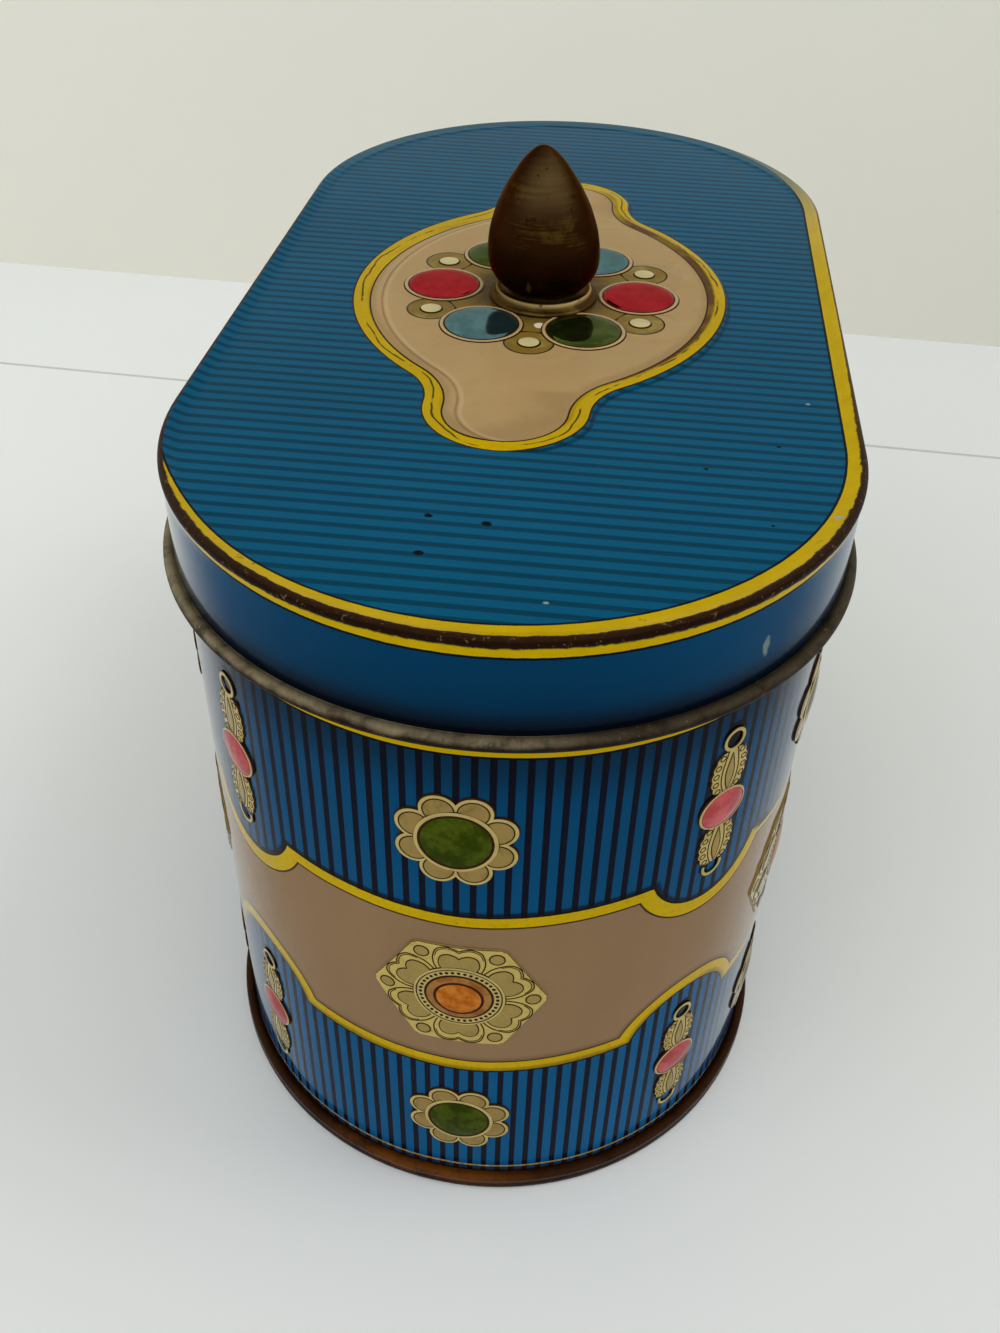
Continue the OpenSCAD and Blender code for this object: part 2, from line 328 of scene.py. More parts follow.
class Paint(Net):
    """Material that is being built, with its coordinates in millimetres."""

    def __init__(self, name: str) -> None:
        """Starts an empty material."""
        self.material = bpy.data.materials.new(name)
        self.material.use_nodes = True
        super().__init__(self.material.node_tree)
        self.tree.nodes.clear()

    def body_place(self) -> Wire:
        """Object coordinates in millimetres."""
        coordinates = self.wire("ShaderNodeTexCoord", None, None, "Object")
        return self.scaled(coordinates, (1 / MM, 1 / MM, 1 / MM))

    def sheet_place(self) -> Wire:
        """Place on the flat sheet in millimetres, before it was rolled."""
        return self.attribute("sheet", "Vector")

    def attribute(self, name: str, output: str = "Fac") -> Wire:
        """Number or vector that the mesh carries under a name."""
        settings = {"attribute_type": "GEOMETRY", "attribute_name": name}
        return self.wire("ShaderNodeAttribute", settings, None, output)

    def relief(self, height: Wire, strength: float, distance: float) -> Wire:
        """Normal of a surface with fine relief, whose depth is in millimetres."""
        values = {"Height": height, "Strength": strength, "Distance": distance * MM}
        return self.wire("ShaderNodeBump", None, values)

    def edge_on(self, most: float) -> Wire:
        """Weight of the varnish's glare, which comes where a surface is seen edge on."""
        facing = self.wire("ShaderNodeLayerWeight", None, {"Blend": 0.5}, "Facing")
        return self.rise(facing, *VARNISH.edge) * most

    def gloss(self, fine: Wire, broad: Wire) -> Wire:
        """Roughness of the varnish, a little uneven."""
        return fine * 0.08 + broad * 0.1 + (VARNISH.roughness - VARNISH.uneven)

    def finish(self, **sockets: object) -> bpy.types.Material:
        """Ends the material in a Principled shader.

        Args:
            sockets: values of the shader's sockets, with _ for a space in their names.

        Returns:
            The material.
        """
        values = {name.replace("_", " "): value for name, value in sockets.items()}
        shader = self.wire("ShaderNodeBsdfPrincipled", None, values)
        self.node("ShaderNodeOutputMaterial", None, {"Surface": shader})
        return self.material


@dataclass(frozen=True)
class Finish:
    """Finish of a surface. Each kind builds its own material, once."""
    name: str

    def paint(self, net: Paint) -> bpy.types.Material:
        """Builds the material's nodes."""
        raise NotImplementedError

    def material(self) -> bpy.types.Material:
        """The finish's material, built when first asked for."""
        return bpy.data.materials.get(self.name) or self.paint(Paint(self.name))


@dataclass(frozen=True)
class Varnish:
    """Thin gloss of the aged varnish over the print."""
    ior: float = 1.1
    roughness: float = 0.15
    glare: float = 0.75
    edge: Point = (0.58, 0.88)
    uneven: float = 0.07


VARNISH = Varnish()


def rubbed(net: Paint, where: Wire, share: float, size: float) -> Wire:
    """Mask of small chips, where the print is rubbed off.

    Args:
        net: the material.
        where: place in millimetres.
        share: from 0 to 1, how much of the print is gone.
        size: rough size of the chips.

    Returns:
        The mask.
    """
    fine = net.noise(where, 1 / size, 4.0, 0.7)
    return net.rise(fine, 0.9 - 0.5 * share, 0.93 - 0.5 * share)


def striped(net: Paint, place: Wire, first: float, pitch: float, edge: Point) -> Wire:
    """Mask of even stripes.

    Args:
        net: the material.
        place: place across the stripes.
        first: middle of one stripe.
        pitch: distance from one stripe to the next.
        edge: where a stripe's soft edge ends and where it starts, counted from the
            stripe's middle in shares of the pitch.

    Returns:
        The mask.
    """
    cell = net.math("FRACT", (place - first) / pitch + (WHOLE_CELLS + 0.5))
    return net.rise(abs(cell - 0.5), *edge)


@dataclass(frozen=True)
class Scallop:
    """Scalloped border of the wall, with its heights counted away from the tan band."""
    edge: float
    sag: float
    width: float
    lobe: float
    radius: float
    ring: float = 2.7

    def distances(self, net: Paint, up: Wire, lobe: Wire, sag: Wire) -> tuple[Wire, Wire]:
        """Distances from its two edges.

        Args:
            net: the material.
            up: height, counted away from the tan band.
            lobe: distance round the wall to the lobe's middle.
            sag: distance round the wall to the plaque's middle, rounded off near zero.

        Returns:
            Distances from the stripes' edge and from the tan band's edge, below zero on
            the stripes' side.
        """
        edge = sag * self.sag + self.edge
        round_part = net.span(lobe, up - self.lobe)
        stripes = net.least(edge - up, round_part - self.radius)
        band = net.least(edge - self.width - up, round_part - (self.radius + self.ring))
        return stripes, band


@dataclass(frozen=True)
class WallPrint(Finish):
    """Striped print of the wall with its two scalloped borders and the tan band between."""
    pitch: float = 2.4376
    first: float = 0.75
    stripe_edge: Point = (0.32, 0.28)
    blue: Colour = paint(0, 74, 116)
    dark: Colour = paint(8, 12, 28)
    black: Colour = paint(7, 6, 7)
    tan: Colour = paint(136, 108, 78)
    yellow: Colour = paint(188, 156, 0)
    # Colour of the painted glare on the upper border.
    pale: Colour = paint(176, 160, 96)
    brown: Colour = paint(58, 34, 14)
    tin: Colour = paint(150, 140, 118)
    foot: Colour = paint(188, 158, 92)
    low_darkening: Colour = paint(40, 24, 12)
    scratch: Colour = paint(120, 118, 108)
    upper: Scallop = Scallop(edge=73.25, sag=0.06, width=2.1, lobe=78.6, radius=11.1)
    lower: Scallop = Scallop(edge=-34.4, sag=-0.065, width=2.5, lobe=-32.8, radius=11.4)
    # Span along the sheet with painted glare over the upper border.
    glare_span: Point = (51.0, 77.0)
    top_line: Point = (105.75, 106.7)
    under_line: Point = (105.4, 105.75)
    foot_line: Point = (4.3, 4.75)
    neck: Point = (108.6, 109.1)

    def stations(self, net: Paint, along: Wire) -> tuple[Wire, Wire]:
        """Distances round the wall to the nearest pendant and to the nearest plaque."""
        reach = abs(along)
        panels = range(FORM.side_panels + 1)
        lobes = [FORM.pendant_place + panel * FORM.panel_pitch for panel in panels]
        middles = [0.0, FORM.half_round, *(place + FORM.panel_pitch / 2 for place in lobes[:-1])]
        lobe = net.least(*[abs(reach - place) for place in lobes])
        return lobe, net.least(*[abs(reach - place) for place in middles])

    def paint(self, net: Paint) -> bpy.types.Material:
        """Builds the material's nodes."""
        where = net.sheet_place()
        along, _, height = net.parts(where)
        fine = net.noise(where, 1.1, 4.0, 0.6)
        broad = net.noise(net.scaled(where, (1.0, 1.0, 0.35)), 0.06, 3.0)
        ragged = (fine - 0.5) * 0.18
        lobe, middle = self.stations(net, along)
        sag = net.math("SQRT", middle * middle + 16.0)
        upper = self.upper.distances(net, height + ragged, lobe, sag)
        lower = self.lower.distances(net, ragged - height, lobe, sag)
        stripes = net.least(upper[0], lower[0])
        band = net.least(upper[1], lower[1])

        stripe = striped(net, along, self.first, self.pitch, self.stripe_edge)
        # Painted shade: the blue is darker towards the top of the wall and a little lighter at the
        # bottom.
        dim = net.rise(height, 112.0, 48.0) * 0.42 + net.rise(height, 36.0, 6.0) * 0.1 + 0.66
        blue = net.tint(self.blue, dim * (broad * 0.5 + 0.75))
        # Painted shadow under the lid: black laid over the top of the wall.
        lid_shadow = net.rise(height, 95.0, 105.0) * 0.55
        shade = net.rise(upper[0], -1.5, -0.8) * net.within(height, 58.0, 97.0, 2.0)
        tan = net.tint(self.tan, broad * 0.3 + fine * 0.12 + 0.79)
        tan = net.blend(net.rise(lower[1], 1.7, 0.2) * 0.4, tan, self.brown)
        # The lower border browns along its edge next to the stripes, unevenly.
        edge_browning = net.rise(lower[0] + (broad - 0.5) * 1.4, 1.3, 0.3) * net.rise(height, 46.0, 42.0)
        ochre = net.coats(
            self.yellow, (net.rise(fine, 0.5, 0.75) * 0.3, self.brown), (edge_browning * 0.55, self.brown)
        )
        # Painted glare: along one span the upper border's yellow is paled and its black line widened.
        glare_band = net.within(along, *self.glare_span, 3.0) * net.rise(height, 60.0, 64.0)
        yellow = net.tint(net.blend(glare_band * 0.8, ochre, self.pale), broad * 0.3 + 0.85)
        line = net.within(stripes, -0.34, 0.04, 0.08) + net.within(stripes, -0.1, 1.0, 0.2) * glare_band
        scuff = net.noise(net.scaled(where, (1.0, 1.0, 0.03)), 0.9, 3.0, 0.7)
        neck = net.rise(height + (scuff - 0.5) * 1.6, *self.neck)
        bare = net.tint(self.tin, scuff * 0.6 + fine * 0.4 + 0.5)
        chips = rubbed(net, where, 0.36, 2.4) * (1.0 - neck)
        scratch = net.noise(net.scaled(where, (0.9, 1.0, 0.07)), 0.8, 2.0, 0.8)
        marks = net.rise(scratch, 0.73, 0.76) * net.rise(broad, 0.45, 0.65)
        colour = net.coats(
            self.dark,
            (stripe, blue),
            (lid_shadow, self.black),
            (shade * 0.85, self.black),
            (net.rise(stripes, -0.04, 0.04), yellow),
            (net.least(line, 1.0), self.black),
            (net.rise(band, -0.04, 0.04), tan),
            (net.within(band, -0.05, 0.28, 0.1), self.brown),
            (net.within(height, *self.top_line, 0.06), self.yellow),
            (net.within(height, *self.under_line, 0.08), self.black),
            (net.within(height + ragged, *self.foot_line, 0.1), self.foot),
            # Darker brown towards the bottom of the wall.
            (net.rise(height + (fine - 0.5) * 5.0, 6.0, 3.2) * 0.75, self.low_darkening),
            (neck, bare),
            (chips * 0.85, self.brown),
            (marks * 0.25, self.scratch),
        )
        return net.finish(
            Base_Color=colour,
            Roughness=net.gloss(fine, broad) + chips * 0.3 + neck * 0.12,
            Metallic=neck * 0.85,
            IOR=VARNISH.ior,
            Coat_Weight=net.edge_on(VARNISH.glare),
            Normal=net.relief(fine, 0.2, 0.03),
        )


@dataclass(frozen=True)
class LidPrint(Finish):
    """Striped print of the lid, with a yellow line that straddles its worn edge."""
    pitch: float = 2.52
    first: float = 0.6
    stripe_edge: Point = (0.35, 0.24)
    light: Colour = paint(0, 81, 114)
    dark: Colour = paint(0, 57, 79)
    plain: Colour = paint(0, 60, 95)
    crease_shade: Colour = paint(2, 26, 40)
    yellow: Colour = paint(190, 158, 0)
    # Colour of the painted sheen on the far side of the yellow line.
    pale: Colour = paint(190, 168, 104)
    line: Colour = paint(8, 9, 8)
    worn: Colour = paint(48, 28, 14)
    rim_shade: Colour = paint(22, 9, 3)
    far_highlight: Colour = paint(98, 72, 30)
    bright: Colour = paint(104, 84, 56)
    far_sheen: Colour = paint(80, 108, 118)
    foot: Colour = paint(4, 7, 14)
    chip: Colour = paint(12, 26, 34)
    nick: Colour = paint(2, 8, 16)
    speck: Colour = paint(150, 160, 144)
    inner: tuple[Point, float] = ((-0.9, 2.0), 49.4)
    outer: tuple[Point, float] = ((0.3, -2.0), 51.6)
    crest: Point = (50.1, 52.35)
    nicks: tuple[Place, ...] = (
        (38.7, -46.7, 0.35), (28.1, -54.5, 0.35), (36.9, -67.7, 0.3),
        (-8.3, -80.9, 0.7), (-0.6, -73.0, 0.7), (-8.6, -72.2, 0.6),
    )
    specks: tuple[Place, ...] = ((45.8, -64.5, 0.6), (43.8, -32.8, 0.3), (8.7, -89.0, 0.3))
    scratch: Point = (36.8, 116.2)

    def reach(self, net: Paint, x: Wire, y: Wire, middle: Point) -> Wire:
        """Distance from the spine of an obround that is centred off the lid's middle."""
        beyond = net.most(abs(y - middle[1]) - FORM.straight / 2, 0.0)
        return net.span(x - middle[0], beyond)

    def spots(self, net: Paint, x: Wire, y: Wire, ragged: Wire, spots: Sequence[Place]) -> Wire:
        """Mask of small marks, each given by its middle and its radius."""
        distances = [net.span(x - left, (y - near) * 1.3) - size for left, near, size in spots]
        return net.rise(net.least(*distances) + ragged, 0.12, -0.12)

    def paint(self, net: Paint) -> bpy.types.Material:
        """Builds the material's nodes."""
        where = net.body_place()
        x, y, z = net.parts(where)
        fine = net.noise(where, 0.9, 4.0, 0.6)
        broad = net.noise(where, 0.035, 3.0)
        coarse = net.noise(where, 0.3, 4.0, 0.65)
        drop = FORM.crest - z
        on_top = net.rise(z, 124.3, 124.6)
        # Painted shade on the skirt: darker towards its foot and at the near end.
        even = net.rise(z, 111.0, 122.0) * 0.3 + 0.78 - net.rise(y, -84.0, -98.0) * 0.28
        stripe = striped(net, y, self.first, self.pitch, self.stripe_edge)
        ground = net.blend(stripe, self.dark, self.light)
        ground = net.blend(on_top, net.tint(self.plain, even), ground)
        outside = net.rise(net.attribute("inset"), 0.2, -0.1)
        # Painted shade in the crease outside the pressed panel's foot.
        fold = net.within(net.attribute("press"), 1.35, 1.95, 0.3) * on_top * outside

        bare_side = net.rise(x, -32.0, -42.0) * net.rise(y, -76.0, -54.0)
        inner = self.reach(net, x, y, self.inner[0]) + (fine - 0.5) * 0.12 - bare_side * 1.6
        outer = self.reach(net, x, y, self.outer[0]) + drop + (fine - 0.5) * 0.2
        far = net.most(net.rise(x, 20.0, 40.0) * net.rise(y, -60.0, 0.0), net.rise(y, 30.0, 60.0))
        ring = net.rise(inner, self.inner[1] - 0.04, self.inner[1] + 0.04)
        ring = ring * net.rise(outer, self.outer[1] + 0.05, self.outer[1] - 0.05)
        yellow = net.coats(
            net.tint(self.yellow, net.noise(where, 0.25, 4.0, 0.6) * 0.4 + 0.8),
            (net.rise(net.noise(where, 0.5, 5.0, 0.7), 0.63, 0.7) * 0.5, self.worn),
            # Painted sheen: the yellow line pales towards the far side.
            (net.rise(y, 10.0, 70.0) * 0.6, self.pale),
        )
        line = net.within(inner, self.inner[1] - 0.36, self.inner[1] + 0.03, 0.08) * on_top
        line = line + net.within(outer, self.outer[1], self.outer[1] + 0.38, 0.1)

        true_reach = self.reach(net, x, y, (0.0, 0.0)) + drop
        ragged = (coarse - 0.5) * 0.7 + (fine - 0.5) * 0.4
        low = true_reach + ragged * (1.0 - far * 0.6) - bare_side * 0.4 - far * 0.6
        rim = net.rise(low, self.crest[0] - 0.08, self.crest[0] + 0.1)
        rim = rim * net.rise(true_reach + ragged, self.crest[1] + 0.15, self.crest[1] - 0.15)
        rim = rim * net.rise(z, 123.2, 123.6)
        glint = net.rise(net.noise(where, 1.3, 3.0, 0.75), 0.6, 0.68)
        # Painted shade on the lower, outer half of the worn rim.
        lower = net.blend(net.rise(low, 50.9, 51.5) * 0.75, self.worn, self.rim_shade)
        bare = net.tint(net.blend(glint, lower, self.bright), fine * 0.8 + 0.6)
        # Painted highlight: the worn rim is lighter on the far side.
        bare = net.blend(far * 0.7, bare, self.far_highlight)

        # Painted sheen along the top's far edge.
        far_sheen = net.rise(z, 125.0, 125.2) * net.rise(y, 40.0, 75.0)
        # Painted shadow: the skirt darkens nearly to black just above its rolled foot.
        foot = net.rise(z + (fine - 0.5) * 1.2, 115.6, 110.9)
        crumb = (fine - 0.5) * 0.8
        speck = self.spots(net, x, y, crumb, self.specks) * on_top
        long = net.noise(net.scaled(where, (1.0, 1.0, 0.16)), 0.3, 2.0, 0.9)
        mark = net.span(x - self.scratch[0], (z - self.scratch[1]) * 0.28) + crumb
        mark = net.rise(mark, 0.55, 0.25) * net.rise(y, -60.0, -70.0) * 0.6
        speck = net.most(speck, net.rise(long, 0.81, 0.83), mark)
        colour = net.coats(
            net.tint(ground, broad * 0.3 + fine * 0.1 + 0.8),
            (fold * (coarse * 1.1), self.crease_shade),
            (ring, yellow),
            (line * 0.92, self.line),
            (rim, bare),
            (far_sheen * 0.75, self.far_sheen),
            (foot * 0.95, self.foot),
            (rubbed(net, where, 0.33, 2.0) * 0.9, self.chip),
            (self.spots(net, x, y, crumb, self.nicks) * on_top, self.nick),
            (speck * 0.8, self.speck),
        )
        at_right = net.rise(x, 10.0, 46.0) * 0.35
        return net.finish(
            Base_Color=colour,
            Roughness=net.gloss(fine, broad) + rim * 0.3,
            Metallic=rim * 0.3,
            IOR=VARNISH.ior,
            Coat_Weight=net.edge_on(VARNISH.glare) * (1.0 - on_top) * (1.0 - at_right),
            Normal=net.relief(fine + ragged * rim * 2.0, 0.3, 0.04),
        )


@dataclass(frozen=True)
class FieldPrint(Finish):
    """Tan ground of the raised panel, with the olive-gold lobes round the knob."""
    tan: Colour = paint(172, 142, 96)
    olive: Colour = paint(126, 100, 40)
    light: Colour = paint(160, 140, 72)
    ink: Colour = paint(52, 34, 16)
    stain: Colour = paint(120, 92, 56)
    edge_shade: Colour = paint(104, 74, 40)
    crease_shade: Colour = paint(112, 80, 48)
    lit: Colour = paint(206, 180, 136)
    bare: Colour = paint(228, 214, 190)
    ground: float = 16.6
    lobe_ring: float = 20.6
    lobe: float = 4.1
    chip: Place = (0.75, -12.9, 1.1)

    def lobes(self, net: Paint, x: Wire, y: Wire) -> Wire:
        """Distance outside the outline of the ground with its six lobes."""
        turn = net.math("ARCTAN2", y, x) / (math.pi / 3)
        fold = (net.math("FRACT", turn + 60.0) - 0.5) * (math.pi / 3)
        reach = net.span(x, y)
        far = reach * net.math("COSINE", fold) - self.lobe_ring
        aside = reach * net.math("SINE", fold)
        return net.least(reach - self.ground, net.span(far, aside) - self.lobe)

    def paint(self, net: Paint) -> bpy.types.Material:
        """Builds the material's nodes."""
        where = net.body_place()
        x, y, _ = net.parts(where)
        fine = net.noise(where, 0.8, 4.0, 0.6)
        broad = net.noise(where, 0.05, 3.0)
        patches = net.noise(where, 0.22, 3.0)
        across, along = x - FORM.jewel_place[0], y - FORM.jewel_place[1]
        edge = self.lobes(net, across, along)
        olive = net.coats(
            self.olive,
            (net.rise(patches, 0.5, 0.72) * 0.6, self.light),
            (net.rise(net.span(across, along), 15.0, 9.5) * 0.7, self.ink),
        )
        stain = net.rise(net.noise(where, 0.16, 4.0, 0.65), 0.56, 0.72)
        # Painted shade along the field's edge, just inside the border.
        rim = net.rise(net.attribute("inset") + (patches - 0.5) * 1.2, 4.6, 3.2)
        press = net.attribute("press")
        chips = rubbed(net, where, 0.31, 1.6)
        left, near, size = self.chip
        chip = net.rise(net.span(x - left, y - near) + (fine - 0.5) * 1.2, size + 0.1, size - 0.1)
        colour = net.coats(
            net.tint(self.tan, broad * 0.3 + fine * 0.08 + 0.81),
            (net.rise(edge, 0.03, -0.03), olive),
            (net.within(edge, -0.16, 0.16, 0.05), self.ink),
            (stain * 0.15, self.stain),
            (rim * 0.25, self.edge_shade),
            # Painted shade and painted highlight along the slope of the pressed panel.
            (net.within(press, 2.7, 3.15, 0.3) * (patches * 0.5 + 0.2), self.crease_shade),
            (net.within(press, 3.3, 3.9, 0.4) * 0.25, self.lit),
            (net.most(chips * 0.7, chip), self.bare),
        )
        swell = net.rise(self.lobes(net, across - 1.7, along + 1.1), 2.4, 0.8)
        return net.finish(
            Base_Color=colour,
            Roughness=fine * 0.1 + VARNISH.roughness,
            IOR=VARNISH.ior,
            Normal=net.relief(swell * 3.0 + fine * 0.2, 1.0, 0.14),
        )


@dataclass(frozen=True)
class BorderPrint(Finish):
    """Yellow border of the raised panel, with printed streaks along it."""
    yellow: Colour = paint(184, 152, 0)
    brown: Colour = paint(86, 56, 8)
    dark: Colour = paint(34, 22, 8)

    def paint(self, net: Paint) -> bpy.types.Material:
        """Builds the material's nodes."""
        where = net.body_place()
        x, y, _ = net.parts(where)
        inset = net.attribute("inset")
        fine = net.noise(where, 0.9, 4.0, 0.6)
        drift = net.noise(where, 0.07, 3.0, 0.5)
        streak = net.within(inset + (drift - 0.5) * 3.6, 1.2, 1.5, 0.16)
        broken = net.rise(net.noise(where, 0.12, 3.0, 0.6), 0.42, 0.52)
        wide = net.most(net.rise(x, 4.0, 16.0), net.rise(y, -50.0, -55.0) * 0.7)
        shade = net.rise(inset + (fine - 0.5) * 0.4 + wide * 0.6, 2.1, 2.7)
        lit = net.rise(net.noise(where, 0.1, 2.0), 0.4, 0.6)
        colour = net.coats(
            net.tint(self.yellow, fine * 0.25 + drift * 0.3 + 0.73),
            (shade * net.least(wide * 0.8 + lit * 0.25, 1.0), self.brown),
            (streak * broken * 0.9, self.dark),
            (rubbed(net, where, 0.38, 1.6) * 0.9, self.dark),
        )
        return net.finish(
            Base_Color=colour,
            Roughness=fine * 0.12 + VARNISH.roughness,
            IOR=VARNISH.ior,
            Normal=net.relief(fine, 0.2, 0.03),
        )


@dataclass(frozen=True)
class Ink(Finish):
    """Printed colour under varnish, a little uneven, as the presses left it."""
    colour: Colour = (0.5, 0.5, 0.5)
    stain: Colour = (0.1, 0.1, 0.1)
    stained: float = 0.25
    roughness: float = 0.2

    def paint(self, net: Paint) -> bpy.types.Material:
        """Builds the material's nodes."""
        where = net.body_place()
        fine = net.noise(where, 1.3, 4.0, 0.65)
        broad = net.noise(where, 0.25, 3.0, 0.6)
        colour = net.tint(self.colour, fine * 0.24 + broad * 0.3 + 0.73)
        stains = net.rise(net.noise(where, 0.55, 4.0, 0.7), 0.5, 0.72)
        colour = net.blend(stains * self.stained, colour, self.stain)
        return net.finish(
            Base_Color=colour,
            Roughness=fine * 0.12 + (self.roughness - 0.05),
            IOR=VARNISH.ior,
            Coat_Weight=net.edge_on(VARNISH.glare),
            Normal=net.relief(fine, 0.3, 0.04),
        )


@dataclass(frozen=True)
class Jewel(Finish):
    """Domed jewel in clear lacquer over the bright tin, so that it mirrors in its own colour."""
    light: Colour = (0.5, 0.1, 0.1)
    deep: Colour = (0.2, 0.02, 0.02)
    metal: float = 0.9
    roughness: float = 0.07
    sheen: float = 0.6
    speck: Colour = paint(190, 170, 110)

    def paint(self, net: Paint) -> bpy.types.Material:
        """Builds the material's nodes."""
        where = net.body_place()
        cloud = net.noise(where, 0.3, 3.0, 0.5)
        fine = net.noise(where, 1.2, 4.0, 0.6)
        share = net.rise(cloud + (fine - 0.5) * 0.2, 0.36, 0.66)
        colour = net.tint(net.blend(share, self.deep, self.light), fine * 0.2 + 0.9)
        specks = net.rise(net.noise(where, 1.5, 2.0, 0.8), 0.78, 0.81)
        colour = net.blend(specks * 0.5, colour, self.speck)
        return net.finish(
            Base_Color=colour,
            Metallic=self.metal,
            Roughness=fine * 0.06 + self.roughness,
            IOR=VARNISH.ior,
            Specular_Tint=tuple(part + (1 - part) * self.sheen for part in self.light),
            Normal=net.relief(fine, 0.12, 0.03),
        )


@dataclass(frozen=True)
class WornEdge(Finish):
    """Edge of the tin that is worn down to brown, with specks of bright metal."""
    brown: Colour = paint(134, 121, 93)
    dark: Colour = paint(27, 18, 11)
    bright: Colour = paint(170, 158, 132)
    rust: Colour = paint(74, 42, 18)
    # Heights and span across X where the edge is painted lighter, as a painted highlight.
    top: Point = (109.5, 110.5)
    broad: Point = (-90.0, 12.0)
    metal: float = 0.2
    roughness: float = 0.6

    def paint(self, net: Paint) -> bpy.types.Material:
        """Builds the material's nodes."""
        where = net.body_place()
        x, _, z = net.parts(where)
        coarse = net.noise(where, 0.22, 4.0, 0.65)
        fine = net.noise(where, 1.6, 4.0, 0.7)
        # Painted highlight and shade: lighter towards the top and within a span across X, dark
        # elsewhere, mixed with patchy wear.
        worn = net.rise(z + (coarse - 0.5) * 1.2, *self.top)
        worn = worn * (net.within(x + (coarse - 0.5) * 30.0, *self.broad, 16.0) * 0.8 + 0.2)
        colour = net.blend(worn * net.rise(coarse, 0.15, 0.6), self.dark, self.brown)
        colour = net.tint(colour, fine * 0.9 + 0.55)
        rust = net.rise(net.noise(where, 0.4, 4.0, 0.7), 0.5, 0.7)
        colour = net.blend(rust * 0.35, colour, self.rust)
        bright = net.rise(net.noise(where, 1.1, 3.0, 0.75), 0.66, 0.72) * (worn * 0.7 + 0.3)
        colour = net.blend(bright * 0.75, colour, self.bright)
        return net.finish(
            Base_Color=colour,
            Roughness=self.roughness - bright * 0.15 - coarse * 0.2,
            Metallic=bright * 0.5 + self.metal,
            IOR=1.15,
            Normal=net.relief(fine + coarse, 0.5, 0.12),
        )


@dataclass(frozen=True)
class BareTin(Finish):
    """Unprinted tinplate inside the canister, dulled and flecked with rust."""
    tin: Colour = paint(168, 164, 152)
    dull: Colour = paint(116, 108, 92)
    rust: Colour = paint(98, 56, 26)

    def paint(self, net: Paint) -> bpy.types.Material:
        """Builds the material's nodes."""
        where = net.body_place()
        broad = net.noise(where, 0.04, 4.0, 0.6)
        fine = net.noise(where, 1.0, 4.0, 0.65)
        grain = net.noise(net.scaled(where, (1.0, 1.0, 0.06)), 1.4, 3.0, 0.6)
        colour = net.blend(net.rise(broad, 0.35, 0.65), self.dull, self.tin)
        colour = net.tint(colour, grain * 0.3 + fine * 0.2 + 0.75)
        rust = net.rise(fine + broad * 0.6, 0.98, 1.08)
        colour = net.blend(rust * 0.8, colour, self.rust)
        return net.finish(
            Base_Color=colour,
            Metallic=0.9 - rust * 0.8,
            Roughness=grain * 0.2 + broad * 0.15 + 0.25 + rust * 0.3,
            Normal=net.relief(grain, 0.3, 0.05),
        )


@dataclass(frozen=True)
class AgedBrass(Finish):
    """Brass darkened by age, rubbed back to gold where fingers lift the lid."""
    dark: Colour = paint(42, 22, 6)
    gold: Colour = paint(122, 98, 36)
    top_sheen: Colour = paint(134, 108, 66)
    rim_light: Colour = paint(200, 170, 108)
    pit: Colour = paint(26, 14, 6)
    worn: float = 0.58
    rubbed_share: float = 0.2
    roughness: float = 0.3
    metal: float = 0.97
    front: Point = (133.5, 139.5)
    chip: Place = (-1.8, 130.4, 0.5)
    rim: Point = (0.0, 0.1)
    edge: Colour = (0.62, 0.48, 0.34)

    def paint(self, net: Paint) -> bpy.types.Material:
        """Builds the material's nodes."""
        where = net.body_place()
        x, y, z = net.parts(where)
        broad = net.noise(where, 0.11, 4.0, 0.6)
        fine = net.noise(where, 0.8, 4.0, 0.65)
        turned = net.noise(net.scaled(where, (0.12, 0.12, 2.2)), 1.0, 4.0, 0.65)
        scratch = net.noise(net.scaled(where, (0.1, 0.1, 3.6)), 1.0, 2.0, 0.8)
        facing = net.rise(x * 0.25 - y - abs(x - 0.5) * 0.8, 0.0, 7.0) * net.rise(z, *self.front)
        handled = facing * (1.0 - net.rise(z, 141.0, 147.0)) * 0.1
        bare = net.rise(broad + (turned - 0.5) * 0.35 + handled, self.worn + 0.06, self.worn + 0.2)
        colour = net.blend(bare * self.rubbed_share, self.dark, self.gold)
        # Painted sheen on the upper part of the knob's front.
        top_sheen = facing * net.rise(z, 140.0, 148.0) * (turned * 0.8 + broad * 0.6)
        ring = net.within(net.span(x - FORM.knob_place[0], y - FORM.knob_place[1]), *self.rim, 0.3)
        lines = net.rise(scratch, 0.64, 0.68) * (facing * 0.5 + 0.12)
        spots = net.rise(net.noise(where, 0.5, 3.0, 0.7), 0.6, 0.68)
        left, up, size = self.chip
        chip = net.span((x - left) * 1.4, (z - up) * 0.55) + (fine - 0.5) * 1.2
        chip = net.rise(chip, size + 0.1, size - 0.1) * net.rise(-y, 2.0, 4.0)
        colour = net.coats(
            net.tint(colour, turned * 0.5 + fine * 0.4 + 0.55),
            (net.least(top_sheen * 0.6, 1.0), self.top_sheen),
            # Painted highlight on a ring round the knob's axis, brighter towards +X.
            (ring * (net.rise(x, -9.0, 5.0) * 0.6 + 0.25), self.rim_light),
            (lines * 0.4, self.gold),
            (spots * 0.6, self.pit),
            (chip, self.gold),
        )
        return net.finish(
            Base_Color=colour,
            Metallic=self.metal,
            Roughness=fine * 0.16 + turned * 0.12 + (self.roughness - 0.1) + spots * 0.12,
            Specular_Tint=self.edge,
            Normal=net.relief(turned * 0.7 + fine * 0.3, 0.35, 0.05),
        )


